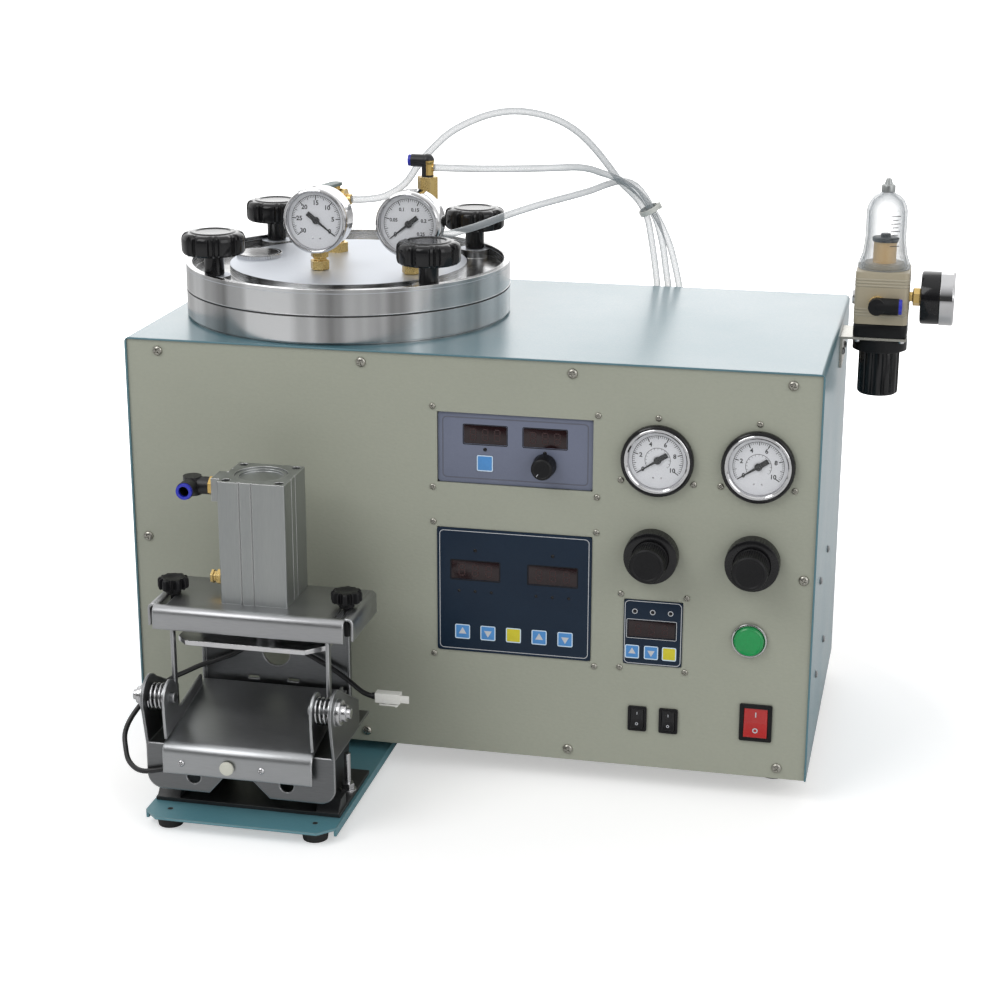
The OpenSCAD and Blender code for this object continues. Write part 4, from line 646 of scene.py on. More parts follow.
# a poly curve through places in metres, as a piece of its own
def curveThrough(name, places, dimensions="3D"):
    curve = bpy.data.curves.new(name, "CURVE")
    curve.dimensions = dimensions
    spline = curve.splines.new("POLY")
    spline.points.add(len(places) - 1)
    for node, at in zip(spline.points, places):
        node.co = (*at, 1)
    obj = bpy.data.objects.new(name, curve)
    bpy.context.collection.objects.link(obj)
    return obj


def meshOf(obj):
    pick(obj)
    bpy.ops.object.convert(target="MESH")
    return bpy.context.object


# a round rod along points in millimetres, as a mesh
def tubeAlong(name, line, radius, sides=12):
    obj = curveThrough(name, [(x / 1000, y / 1000, z / 1000) for x, y, z in line])
    obj.data.bevel_depth = radius / 1000
    obj.data.bevel_resolution = max(1, sides // 4 - 1)
    obj.data.use_fill_caps = True
    obj = meshOf(obj)
    closeSkin(obj)
    return smoothBy(obj, 50)


# a sheet bent along a line of (forward, up) places, with round folds
def bentSheet(name, line, wide, thick, fold, steps=8):
    places = [Vector(line[0])]
    for before, at, after in zip(line, line[1:], line[2:]):
        before, at, after = Vector(before), Vector(at), Vector(after)
        start = at + (before - at).normalized() * fold
        end = at + (after - at).normalized() * fold
        for i in range(steps + 1):
            t = i / steps
            places.append((1 - t) ** 2 * start + 2 * t * (1 - t) * at + t * t * end)
    places.append(Vector(line[-1]))
    obj = curveThrough(name, [(at.x / 1000, at.y / 1000, 0) for at in places], "2D")
    obj.data.fill_mode = "NONE"
    obj.data.extrude = wide / 2000
    obj = meshOf(obj)
    solid = obj.modifiers.new("solid", "SOLIDIFY")
    solid.thickness = thick / 1000
    solid.offset = 0
    bpy.ops.object.modifier_apply(modifier=solid.name)
    closeSkin(obj)
    return soften(obj, 0.3, 2, 50)


# a flat plate of a given outline, about its middle plane
def flatPlate(name, outline, thick):
    obj = curveThrough(name, [(x / 1000, y / 1000, 0) for x, y in outline], "2D")
    obj.data.fill_mode = "BOTH"
    obj.data.splines[0].use_cyclic_u = True
    obj.data.extrude = thick / 2000
    obj = meshOf(obj)
    closeSkin(obj)
    return soften(obj, 0.3, 2, 50)


def dress(obj, finish, body, *nodes):
    obj.data.materials.clear()
    obj.data.materials.append(mats[finish])
    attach(obj, body)
    if nodes:
        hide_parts(*nodes)
    return obj


# a turned piece set in its place and dressed
def lathed(name, rings, at, way, finish, body, *nodes, **shape):
    return dress(settle(turned(name, rings, **shape), at, way), finish, body, *nodes)


# a block's middle moved off its axis, in millimetres along x
def offAxis(obj, x):
    obj.location = (x / 1000, 0, 0)
    pick(obj)
    bpy.ops.object.transform_apply()
    return obj


# ---- hoses, their tie, the button cable and its plug ----
# the same smoothing as in the solids, so hose and solid lie in one place
def smoothRoute(route, steps):
    line = []
    last = len(route) - 1
    for i in range(last):
        a, b, c, e = (Vector(route[k]) for k in (max(i - 1, 0), i, i + 1, min(i + 2, last)))
        for k in range(steps):
            t = k / steps
            bend = (2 * a - 5 * b + 4 * c - e) * t * t + (3 * b - a - 3 * c + e) * t ** 3
            line.append(0.5 * (2 * b + (c - a) * t + bend))
    return line + [Vector(route[-1])]


hose = {"body": "lid_group", "diameter": 6, "finish": "hoseClear", "end": "object"}
# each route in drawing millimetres, from the end that is held to the far end
cords = {
    "reliefHose": {**hose, "node": "relief_hose", "route": [
        (137, 178, 413.5), (148, 178, 414), (165, 180, 417), (181, 186, 427), (192, 191, 443), (204, 195, 457),
        (217, 199, 469), (233, 205, 478), (250, 212, 484), (268, 220, 486), (287, 229, 483), (304, 239, 476),
        (318, 250, 465), (330, 262, 450), (340, 274, 434), (348, 285, 420), (356, 293, 410), (362, 299, 402),
        (367, 302, 393), (371, 303, 382), (375, 304, 360), (378, 305, 340), (380, 306, 322), (380, 306, 313),
        (380, 306, 304)]},
    "vacuumHose": {**hose, "node": "vacuum_hose", "route": [
        (211, 170, 444), (217, 170, 444), (228, 174, 443.5), (246, 185, 442), (277, 200, 441), (307, 220, 440),
        (318, 232, 439), (328, 245, 436), (336, 258, 431), (345, 270, 426), (354, 281, 419), (362, 290, 411),
        (369, 297, 402), (374, 300, 393), (379, 302, 382), (384, 304, 362), (387, 305, 342), (390, 306, 322),
        (390, 306, 313), (390, 306, 304)]},
    "pressureHose": {**hose, "node": "pressure_hose", "route": [
        (222, 140, 394), (227, 140, 394), (238, 147, 396), (252, 164, 399), (270, 190, 404), (291, 215, 409),
        (309, 238, 412), (326, 260, 415), (337, 277, 418), (346, 292, 419), (353, 301, 417), (360, 307, 412),
        (367, 309, 403), (373, 309, 393), (380, 309, 382), (389, 309, 363), (395, 308, 343), (400, 306, 322),
        (400, 306, 313), (400, 306, 304)]},
    "buttonCable": {
        "node": "cable", "body": "carriage", "diameter": 4, "finish": "cableSkin", "end": "connector", "route": [
        (117, -142.5, 34), (111, -142.5, 34), (104, -142.5, 34), (90, -142.5, 31), (78, -142.5, 28),
        (67, -142.2, 25), (57, -141.5, 23), (48, -137, 23), (40, -130, 26), (35, -122, 32), (32, -115, 40),
        (34, -109, 49), (39, -99, 58), (46, -86, 66), (55, -71, 71), (64, -62, 74), (74, -56, 78), (86, -52, 82),
        (100, -51.5, 88), (113, -51.5, 96), (124, -51.5, 101), (136, -51.5, 102), (148, -51.5, 99), (160, -51.5, 94),
        (172, -51.5, 88), (182, -51.7, 82.5), (190, -53.4, 78.5), (198, -57.6, 75.5), (205, -62.8, 73.3),
        (211.5, -67.4, 71.8), (218, -70, 71), (222, -70, 71)]},
}
routeSteps = 4

# the plug: a shell with two pockets, a tongue, a latch on its post and the ridge on the latch
shell = block("plugShell", (20, 8, 8), corner=0.6, edge=0.35)
pockets = [shift(block("pocket", (9, 3.6, 2.2), edge=0), 6.5, 0, 2.9 + side) for side in (-1.7, 1.7)]
plugParts = [
    settle(cutAway(shell, pockets), (232, -70, 67)),
    settle(block("plugTongue", (13, 1.2, 6), edge=0.2), (242.5, -72.4, 68)),
    settle(block("plugLatch", (15, 5, 1.6), corner=0.8, edge=0.3), (232.5, -70, 64.4)),
    settle(block("plugPost", (3, 5, 1.6), edge=0.1), (231.5, -70, 65.8)),
    settle(block("plugRidge", (1.4, 5, 0.9), edge=0.3), (238.5, -70, 63.7)),
]
cablePlug = dress(joined("cablePlug", plugParts), "nylonWhite", "carriage", "connector")
bootRings = [(2.1, -3.5), (2.5, -3.2), (2.9, -0.5), (3.1, 0.4)]
cableBoot = lathed("plugBoot", bootRings, (222, -70, 71), "right", "cableSkin", "carriage", sides=24)

for name, spec in cords.items():
    line = smoothRoute(spec["route"], routeSteps)
    cordPiece = curveThrough(name, [point(*at) for at in line])
    cordPiece.data.bevel_depth = spec["diameter"] / 2000
    cordPiece.data.bevel_resolution = 5
    cordPiece.data.use_fill_caps = True
    cordPiece.data.splines[0].use_smooth = True
    dress(cordPiece, spec["finish"], spec["body"], spec["node"])

tieRings = [(8.6, -2.2), (9.2, -2.25), (9.5, -1.9), (9.5, 1.9), (9.2, 2.25), (8.6, 2.2), (8.6, -2.2)]
tieBand = turned("tieBand", tieRings, sides=48, hollow=True)
tieHead = block("tieHead", (3.2, 4.6, 5.4), corner=0.6, edge=0.3)
tieHead.location = (0.0095, 0, -0.0027)
bind = joined("hoseTie", [tieBand, tieHead])
pick(bind)
# the tie lies square to the hoses, which lean here
bind.rotation_euler = (math.radians(8), math.radians(-26), 0)
bpy.ops.object.transform_apply()
dress(settle(bind, (371.4, 304.25, 393)), "nylonWhite", "lid_group", "hose_tie")
print("stage: hoses, cable and plug")

# ---- cross-recess screws ----
# boards: x, z, width and height between their corner screws; gauges: three screws on a circle around each
boards = ((315.4, 253.7, 130, 65), (315.5, 137.3, 129.7, 110.9), (426.4, 113.6, 51.6, 61.4))
boardScrews = [
    (x + sx * w / 2, 1.5, z + sz * h / 2) for x, z, w, h in boards for sx in (-1, 1) for sz in (-1, 1)]
gaugeCircle = 33
gaugeScrews = [
    (x + gaugeCircle * math.cos(math.radians(a)), 1.5, 254 + gaugeCircle * math.sin(math.radians(a)))
    for x in (426.7, 503.2) for a in (90, 212, 328)]
screwKinds = {
    "panelScrews": {
        "head": 8, "high": 2.4, "way": "front", "finish": "zincPlate",
        "at": [(27.2 + i * 166.5, 1.5, z) for i in range(4) for z in (9, 318)] + [(12, 1.5, 163), (541, 1.5, 166)]},
    "moduleScrews": {
        "head": 5, "high": 1.6, "way": "front", "finish": "zincPlate", "at": boardScrews + gaugeScrews},
    "sideScrews": {
        "head": 6, "high": 2, "way": "right", "finish": "darkSteel",
        "at": [(550, y, z) for y in (58, 138) for z in (68, 147)] + [(552, y, 305) for y in (178, 202)]},
    "trayScrews": {
        "head": 5.5, "high": 2, "way": "front", "finish": "brightSteel", "body": "mould_tray", "node": "tray",
        "at": [(90, -147, 35.3), (153.5, -147, 35.3)]},
}
# neighbouring recesses are turned by this much from one another, in degrees
recessTurn = 37
for name, spec in screwKinds.items():
    r, h = spec["head"] / 2, spec["high"]
    head = turned("head", [
        (r * 0.5, -2.5), (r * 0.5, -0.3), (r * 0.96, -0.2), (r, h * 0.12), (r * 0.98, h * 0.34), (r * 0.86, h * 0.62),
        (r * 0.6, h * 0.87), (r * 0.3, h * 0.98), (0.05, h)], sides=32)
    recesses = [shift(block("recess", (r * 1.15, r * 0.26, h), edge=0), z=h * 0.45, turn=turn) for turn in (0, 90)]
    cutAway(head, recesses)
    heads = []
    for index, at in enumerate(spec["at"]):
        twin = copyOf(head, name + str(index))
        heads.append(settle(twin, at, spec["way"], turn=(index * recessTurn) % 90))
    bpy.data.objects.remove(head, do_unlink=True)
    dress(joined(name, heads), spec["finish"], spec.get("body", "cabinet"), spec.get("node", "screws"))
print("stage: screws")

# ---- gauges ----
# a piece set in the place of its gauge, panel or switch, and dressed
def fitted(obj, spec, finish, *nodes, body=None):
    return dress(settle(obj, spec["at"], spec["way"]), finish, body or spec["body"], *nodes)


tens = ["0", "2", "4", "6", "8", "10"]
lidDial = {"way": "front", "case": 52, "bezel": 53, "body": "lid_group", "node": "lid_gauges", "finish": "chrome",
           "start": 218, "sweep": 256}
panelDial = {"way": "front", "case": 50, "bezel": 56, "body": "cabinet", "node": "panel_gauges",
    "finish": "glossBlack", "angle": 214, "start": 214, "sweep": 248, "labels": tens}
gauges = {
    "vacuum": {**lidDial, "at": (132.5, 84.6, 410.5), "angle": 322, "labels": ["30", "25", "20", "15", "10", "5",
        "0"]},
    "pot": {**lidDial, "at": (209.5, 84.6, 410.5), "angle": 218, "labels": ["0", "0.05", "0.1", "0.15", "0.2",
        "0.25"]},
    "forward": {**panelDial, "at": (426.7, -4.5, 254)},
    "clamp": {**panelDial, "at": (503.2, -4.5, 254)},
    "filter": {"at": (638.5, 190, 350), "way": "right", "case": 43, "bezel": 44, "body": "cabinet",
        "node": "filter_gauge", "finish": "glossBlack", "angle": 225, "start": 225, "sweep": 270, "labels": tens},
}
# heights below the glass rim's front: the card, the ink lying on it and the needle's foot
strokeHeight, figureHeight, arcHeight, needleHeight = -5.49, -5.46, -5.44, -5
for kind, spec in gauges.items():
    name = kind + "Gauge"
    case, lip = spec["case"] / 2, spec["bezel"] / 2
    glass = case - 2.5
    if kind == "filter":
        shellRings = [(case - 3, -27), (case - 0.6, -26.4), (case, -25), (case, -12), (case - 1, -11.6),
            (case - 1, -7)]
        rimRings = [
            (case - 0.8, -11.8), (lip, -11.4), (lip, -1.6), (lip - 0.7, -0.5), (lip - 1.8, 0), (glass + 0.4, -0.3),
            (glass, -1), (glass, -6.4), (case - 0.8, -6.4), (case - 0.8, -11.8)]
    elif spec["finish"] == "chrome":
        shellRings = [
            (case - 4, -27), (case - 1.2, -26.2), (case - 0.4, -24.8), (case - 0.4, -7.6), (case - 1, -7.2),
            (case - 1.4, -7)]
        rimRings = [
            (case - 1.4, -8), (lip - 0.2, -7.7), (lip, -7.0), (lip, -1.8), (lip - 0.6, -0.6), (lip - 1.7, 0),
            (glass + 0.5, -0.3), (glass, -1), (glass, -6.4), (case - 1.4, -6.4), (case - 1.4, -8)]
    else:
        shellRings = [(case - 3, -27), (case - 0.5, -26.4), (case, -25), (case, -6.2), (lip - 0.2, -6), (lip, -5.4),
            (lip, -1.6), (lip - 0.6, -0.5), (lip - 1.6, 0), (glass + 3.1, -0.3), (glass + 2.8, -1.2),
            (glass + 1.2, -6.4)]
        rimRings = [
            (glass + 3, -4), (glass + 2.95, -0.6), (glass + 2.3, -0.1), (glass + 1.1, -0.2), (glass, -1.2),
            (glass, -6.3), (glass + 1.1, -6.3), (glass + 3, -4)]
    fitted(turned(name + "Case", shellRings, 96), spec, spec["finish"], spec["node"])
    fitted(turned(name + "Rim", rimRings, 96, hollow=True), spec, "chrome", spec["node"])
    cardRings = [(glass - 0.1, -6.5), (glass - 0.1, -5.62), (glass - 0.2, -5.5)]
    fitted(turned(name + "Card", cardRings, 96), spec, "dialPaper")
    # the scale: ticks in three lengths, numbers and thin arcs
    ink = []
    majors = len(spec["labels"]) - 1
    ticks = 50 if majors == 5 else 60
    for i in range(ticks + 1):
        big = i % (ticks // majors) == 0
        middle = i % (ticks // majors // 2) == 0
        long, wide = (glass * 0.16, 0.75) if big else (glass * 0.12, 0.5) if middle else (glass * 0.08, 0.34)
        stroke = offAxis(block("stroke", (long, wide, 0.05), edge=0), glass * 0.86 - long / 2)
        ink.append(shift(stroke, z=strokeHeight, turn=spec["start"] - spec["sweep"] * i / ticks))
    for i, word in enumerate(spec["labels"]):
        angle = math.radians(spec["start"] - spec["sweep"] * i / majors)
        away, size = (glass * 0.6, glass * 0.215) if len(word) < 3 else (glass * 0.54, glass * 0.165)
        ink.append(letters("figure", word, size, away * math.cos(angle), away * math.sin(angle), figureHeight))
    ink.append(arcBand("scaleArc", glass * 0.87, glass * 0.855, spec["start"], spec["sweep"], arcHeight))
    if spec["finish"] == "glossBlack":
        ink.append(arcBand("innerArc", glass * 0.44, glass * 0.425, spec["start"], spec["sweep"], arcHeight))
        innerTicks = 14
        for i in range(innerTicks + 1):
            stroke = offAxis(block("stroke", (glass * 0.06, 0.25, 0.05), edge=0), glass * 0.4)
            ink.append(shift(stroke, z=strokeHeight, turn=spec["start"] - spec["sweep"] * i / innerTicks))
    fitted(joined(name + "Scale", ink), spec, "dialInk")
    studRings = [(0.75, -5.5), (0.7, -5.25), (0.3, -5.1), (0.05, -5.05)]
    studs = [shift(turned("stud", studRings, 16), x, -glass * 0.62) for x in (-3, 3)]
    fitted(joined(name + "Pins", studs), spec, "brightSteel")
    # the needle: a tapered bar, a tail and a boss on its arbor
    reach = glass - 4
    bar = block("bar", (reach, 2.2, 0.45), edge=0)
    edit(bar)
    selectWhere(bar, lambda co: co.x > 0)
    bpy.ops.transform.resize(value=(1, 0.22, 0.6), center_override=(reach / 2000, 0, 0.0002))
    objectMode()
    tail = block("tail", (reach * 0.4, 4, 0.5), corner=0.5, edge=0.08)
    boss = turned("boss", [
        (0.8, -1.6), (0.8, 0), (2.9, 0), (3, 0.5), (2.9, 1.1), (2.4, 1.25), (1.9, 1.25), (1.7, 1.05), (0.9, 1.05),
        (0.8, 1.3), (0.05, 1.35)], 32)
    hand = joined(name + "Hand", [offAxis(bar, reach / 2), offAxis(tail, -reach * 0.27), boss])
    shift(hand, z=needleHeight, turn=spec["angle"])
    fitted(hand, spec, "dialInk", kind + "_needle", body=kind + "_pointer")
    lensRings = [(glass - 0.1, -2), (glass - 0.1, -1.3), (glass * 0.8, -0.9), (glass * 0.45, -0.65), (0.05, -0.55)]
    fitted(turned(name + "Glass", lensRings, 64), spec, "gaugeGlass")
hexStem = [(6.6, 0), (7.9, 0.8), (7.9, 7.6), (6.6, 8.4), (5.6, 8.5), (5.6, 9.8), (6.8, 10.2), (7.4, 10.8),
    (7.4, 17.5)]
stems = [settle(turned("gaugeStem", hexStem, 6, smooth=20), (x, 98.1, 369), turn=30) for x in (132.5, 209.5)]
dress(joined("lidGaugeStems", stems), "brass", "lid_group", "lid_gauges")
filterStem = [(4, -9.5), (4, -6.4), (6.4, -6.2), (7.4, -5.6), (7.4, -0.6), (6.6, 0.2)]
lathed("filterGaugeStem", filterStem, (611.5, 190, 350), "right", "brass", "cabinet", "filter_gauge", sides=6,
    smooth=20)
print("stage: gauges")


# the share of the rim's radius left at each step, from a lobe's middle to a scallop's middle;
# a scallop is cut by a circle of the radius cut, whose middle lies the distance centre from the knob's axis
def scallops(lobes, steps, rim, centre, cut):
    shares = []
    for i in range(steps + 1):
        off = math.pi / lobes * (1 - i / steps)
        gap = cut * cut - (centre * math.sin(off)) ** 2
        shares.append(min(1, (centre * math.cos(off) - math.sqrt(gap)) / rim) if gap > 0 else 1)
    return shares


# ---- lid: hand knobs, cap ----
studCircle = 119.5
knobAngles = {"front_left": 222, "back_left": 138, "front_right": 318, "back_right": 42}
handProfile = [
    (3.4, -17.5), (4, -16.8), (4, 0), (7.4, 0), (8, 0.7), (8, 15.2), (9, 16.9), (11, 17), (21, 17),
    (23.6, 17.6), (25, 19), (25.5, 21.4), (25.5, 29.5), (25.1, 31.8), (24.1, 33.3), (22.4, 34.3), (19.6, 34.6),
    (18.4, 34.7), (17.8, 35.3), (17, 35.5), (14.6, 35.5), (13.9, 35.3), (13.4, 34.8), (0.05, 34.6)]
handKnob = turned("handKnob", handProfile, 128)
fluted(handKnob, 8, scallops(8, 8, 25.5, 30.5, 7.5), 17.2, 34.4, 19)
for place, angle in knobAngles.items():
    x = potAxis[0] + studCircle * math.cos(math.radians(angle))
    y = potAxis[1] + studCircle * math.sin(math.radians(angle))
    twin = copyOf(handKnob, "lidKnob_" + place)
    dress(settle(twin, (x, y, 369), turn=angle), "glossBlack", "hand_knob_" + place, "lid_knob_" + place)
bpy.data.objects.remove(handKnob, do_unlink=True)

starProfile = [
    (2, 0), (2.5, 0.5), (2.5, 24), (5.6, 24), (6, 24.5), (6, 27.6), (8, 28), (10.8, 28.1), (11.7, 28.8),
    (12, 30), (12, 34.6), (11.7, 35.9), (10.9, 36.7), (9, 37), (5, 37), (4.4, 36.7), (0.05, 36.5)]
starKnob = turned("starKnob", starProfile, 96)
fluted(starKnob, 6, scallops(6, 8, 12, 14.3, 5.7), 28.02, 36.9, 7.5)
for name, x, turn in (("left", 64.5, 12), ("right", 203.5, 40)):
    twin = copyOf(starKnob, "starKnob_" + name)
    dress(settle(twin, (x, -82, 123.5), turn=turn), "satinBlack", name + "_star", "star_knob_" + name)
bpy.data.objects.remove(starKnob, do_unlink=True)

capRings = [(19, -0.1), (19, 2.4), (18.4, 3), (16.6, 3.35), (15.4, 3.1), (14.8, 2.7), (0.05, 2.65)]
lathed("fillerCap", capRings, (66, 142, 369.1), "up", "capWhite", "lid_group", sides=96)
seamRings = [(133.5, 0), (134.2, 0.1), (134.2, 0.6), (133.5, 0.7)]
lathed("lidSeam", seamRings, (*potAxis, 351.6), "up", "chrome", "lid_group", sides=200, hollow=True)
gasketRings = [(133, -0.1), (134.08, 0), (134.08, 0.9), (133, 1)]
lathed("lidGasket", gasketRings, (*potAxis, 350.3), "up", "rubber", "cabinet", sides=200, hollow=True)
print("stage: knobs and lid trim")


# ---- controls in the front panel ----
# seven strokes of an unlit digit
def digitStrokes(x, y, high, height):
    wide, line = high * 0.5, high * 0.1
    strokes = [(x, y + row * high / 2, wide * 0.8, line) for row in (-1, 0, 1)]
    strokes += [(x + column * wide / 2, y + row * high / 4, line,
        high * 0.4) for row in (-1, 1) for column in (-1, 1)]
    parts = []
    for sx, sy, w, d in strokes:
        stroke = block("stroke", (w, d, 0.05), edge=0)
        stroke.location = (sx / 1000, sy / 1000, height / 1000)
        parts.append(stroke)
    return parts


# moves a part to its own place on its board, both places given on the front panel
def onBoard(obj, spec, x, z, height=0.0, turn=0.0):
    return shift(obj, x - spec["at"][0], z - spec["at"][2], height, turn)


arrows = {"up": 0, "down": 180}
inFront = {"way": "front", "body": "cabinet"}
navyBoard = {**inFront, "node": "controller_panels", "film": "navyFilm", "line": "printWhite", "lineWide": 0.5,
    "thick": 1}
# displays: x, z, width, height; keys: x, z, side, finish, mark; lamps: x, z, radius, whether ringed
panels = {
    "pressure": {
        **inFront, "node": "pressure_panel", "film": "greyFilm", "line": "greyFrame", "lineWide": 1.1, "thick": 1.6,
        "at": (315.4, 3.5, 253.7), "size": (122.6, 56.6), "inset": 7,
        "displays": [(291.8, 264.7, 34, 15), (339, 264.7, 34, 15)],
        "keys": [(291.7, 242.1, 12.6, "keyBlue", None)],
        "lamps": [(x, 253.2, 1.5, False) for x in (291.8, 339)]},
    "forward": {
        **navyBoard, "at": (315.5, 0.5, 137.3), "size": (123.7, 102.9), "inset": 4,
        "displays": [(284.5, 154.3, 39, 15.5), (346.5, 154.3, 39, 15.5)],
        "keys": [(274.3, 102.7, 12, "keyBlue", "up"), (294.9, 102.7, 12, "keyBlue", "down"),
                 (315.6, 102.7, 12, "keyYellow", None), (336.3, 102.7, 12, "keyBlue", "up"),
                 (357.1, 102.7, 12, "keyBlue", "down")],
        "lamps": [(x, 171, 1.4, False) for x in (284.5, 346.5)]
        + [(x + i * 13, 137, 1.2, False) for x in (271.5, 333.5) for i in range(3)]},
    "hold": {
        **navyBoard, "at": (426.4, 0.5, 113.6), "size": (46.2, 53.8), "inset": 1.6,
        "displays": [(425.4, 116.6, 37, 13.5)],
        "keys": [(410.5, 97.5, 11, "keyBlue", "up"), (425.5, 97.5, 11, "keyBlue", "down"),
                 (439.7, 97.5, 11, "keyYellow", None)],
        "lamps": [(x, 131, 1.4, True) for x in (412, 426, 440)]},
}
for name, spec in panels.items():
    film = shift(block(name + "Film", (*spec["size"], spec["thick"]), corner=2.5, edge=0.25), z=-spec["thick"])
    wells = [onBoard(block("well", (w, d, 1), corner=0.8, edge=0), spec, x, z, -0.4) for x, z, w,
        d in spec["displays"]]
    fitted(cutAway(film, wells), spec, spec["film"], spec["node"])
    wide, high = (side - spec["inset"] for side in spec["size"])
    trims = [frameLine(name + "Line", wide, high, 3.5, spec["lineWide"], 0.03)]
    if name == "hold":
        trims.append(onBoard(frameLine("box", 39.5, 16, 1.2, 0.4, 0.03), spec, 425.4, 116.6))
    fitted(joined(name + "Print", trims), spec, spec["line"])
    glassParts, figures, rims = [], [], []
    for x, z, w, d in spec["displays"]:
        glassParts.append(onBoard(block("display", (w - 0.2, d - 0.2, 0.6), corner=0.7, edge=0.12), spec, x, z, -0.9))
        rims.append(onBoard(frameLine("rim", w + 1.6, d + 1.6, 1.2, 0.7, 0.04), spec, x, z))
        for i in (-1, 0, 1):
            figures += digitStrokes(x - spec["at"][0] + i * w * 0.28, z - spec["at"][2], d * 0.58, -0.29)
    fitted(joined(name + "Displays", glassParts), spec, "displayRed")
    fitted(joined(name + "Figures", figures), spec, "segmentDim")
    fitted(joined(name + "DisplayRims", rims), spec, "satinBlack")
    frames, marks, faces = [], [], {}
    for x, z, side, tone, mark in spec["keys"]:
        face = onBoard(block("key", (side, side, 0.45), corner=1.2, edge=0.18), spec, x, z)
        faces.setdefault(tone, []).append(face)
        frames.append(onBoard(frameLine("keyFrame", side + 0.2, side + 0.2, 1.3, 0.8, 0.48), spec, x, z))
        if mark:
            arrow = turned("arrow", [(side * 0.3, 0.4), (side * 0.3, 0.5)], 3)
            marks.append(onBoard(arrow, spec, x, z, 0.02, arrows[mark]))
    for tone, group in faces.items():
        fitted(joined(name + tone, group), spec, tone)
    fitted(joined(name + "KeyFrames", frames), spec, "keyLight")
    if marks:
        fitted(joined(name + "Arrows", marks), spec, "printWhite")
    dots, rings = [], []
    for x, z, r, ring in spec["lamps"]:
        dots.append(onBoard(turned("lamp", [(r, -0.1), (r, 0.25), (r * 0.7, 0.6), (0.05, 0.75)], 20), spec, x, z))
        if ring:
            rings.append(onBoard(arcBand("ring", r + 0.75, r + 0.15, 0, 360, 0.05, 28), spec, x, z))
    fitted(joined(name + "Lamps", dots), spec, "glossBlack")
    if rings:
        fitted(joined(name + "LampRings", rings), spec, "printWhite")

dialKnob = turned("pressureDial", [
    (4.4, 0.2), (9.2, 0.3), (9.4, 1.2), (9.25, 3), (8.7, 11.8), (8.2, 13.2), (7.2, 13.9), (6.6, 13.9), (6.2, 13.6),
    (0.05, 13.5)], 72)
fluted(dialKnob, 18, [1, 0.985, 0.955], 2.6, 13, 7.6)
pointer = shift(block("pointer", (2.4, 0.5, 0.2), edge=0.04), -2.4, 5, 13.7, 118)
dress(settle(dialKnob, (339, 3.2, 243.6), "front"), "satinBlack", "pressure_dial", "pressure_knob")
dress(settle(pointer, (339, 3.2, 243.6), "front", turn=118), "printWhite", "pressure_dial")

collarRings = [(20.6, 0), (21, 0.5), (21, 10.2), (20.5, 11.4), (19.2, 12), (14.4, 12), (14.2, 11.5), (14.2, 6)]
knobRings = [
    (13.7, 6), (13.95, 11.7), (13.95, 13.2), (13.2, 13.8), (13.2, 14.2), (13.95, 14.8), (13.9, 28.4), (13.4, 30),
    (12.4, 30.9), (11.4, 31), (10.8, 30.7), (10.4, 30.4), (0.05, 30.3)]
collars = []
for name, x in (("forward", 424.3), ("clamp", 502)):
    collar = fluted(turned("collar" + name, collarRings, 240), 60, [1, 0.992, 0.968], 0.8, 10.8, 20.2)
    collars.append(settle(collar, (x, 1.5, 178.3), "front"))
    knob = fluted(turned(name + "RegulatorKnob", knobRings, 240), 48, [1, 0.985, 0.95, 0.935], 15.2, 29.2, 12.9)
    dress(settle(knob, (x, 1.5, 178.3), "front"), "satinBlack", name + "_regulator", name + "_regulator_knob")
dress(joined("regulatorCollars", collars), "glossBlack", "cabinet", "regulator_collars")

bezelRings = [(13.4, 0), (14, 0.5), (14, 2.4), (13.5, 3.2), (12.7, 3.5), (12, 3.2), (11.7, 2.4), (11.7, -2)]
lathed("greenBezel", bezelRings, (501.6, 1.5, 114.4), "front", "chrome", "cabinet", "switch_bezels", sides=96,
    hollow=True)
capRings = [(11.4, -2), (11.5, 4.8), (11.2, 5.8), (10.4, 6.35), (9.7, 6.2), (9.2, 5.85), (0.05, 5.9)]
# the cap's faint glow is painted light
lathed("greenCap", capRings, (501.6, 1.5, 114.4), "front", "greenPaintedGlow", "start_button", "green_button", sides=96)

smallSwitch = {**inFront, "frame": (15, 21), "rocker": (10, 16), "finish": "glossBlack", "size": 3}
switches = {
    "forward": {**smallSwitch, "at": (415.7, 1.5, 41)},
    "clamp": {**smallSwitch, "at": (440.4, 1.5, 41)},
    "power": {**inFront, "at": (509, 1.5, 46), "frame": (25.5, 31), "rocker": (18.4, 23.6), "finish": "lampRed",
              "size": 5.4},
}
# a rocker rests tipped this far, in degrees
rockerLean = -7
for name, spec in switches.items():
    rw, rd = spec["rocker"]
    surround = block(name + "Surround", (*spec["frame"], 2), corner=1.4, edge=0.5)
    cutAway(surround, [shift(block("hole", (rw + 0.7, rd + 0.7, 6), corner=0.5, edge=0), 0, 0, -2)])
    fitted(surround, spec, "satinBlack", "switch_bezels")
    # the rocker tips about its own axis, 1.5 behind the panel's front; its two faces meet in a shallow valley
    tipper = block(name + "Rocker", (rw, rd, 4.4), edge=0)
    edit(tipper)
    bpy.ops.mesh.subdivide(number_cuts=1)
    selectWhere(tipper, lambda co: co.z > 0.003 and abs(co.y) < 0.001)
    bpy.ops.transform.translate(value=(0, 0, -rd * 0.045 / 1000))
    objectMode()
    soften(tipper, 0.45, 3, 6)
    marksHere = [letters(mark, mark, spec["size"], 0, side * rd * 0.27, 4.28) for mark, side in (("O", -1), ("I", 1))]
    x, y, z = spec["at"]
    for part in [tipper] + marksHere:
        settle(part, (x, y + 1.5, z), "front", lean=rockerLean)
    dress(tipper, spec["finish"], name + "_switch", name + "_rocker")
    dress(joined(name + "Marks", marksHere), "printWhite", name + "_switch")
print("stage: front panel controls")

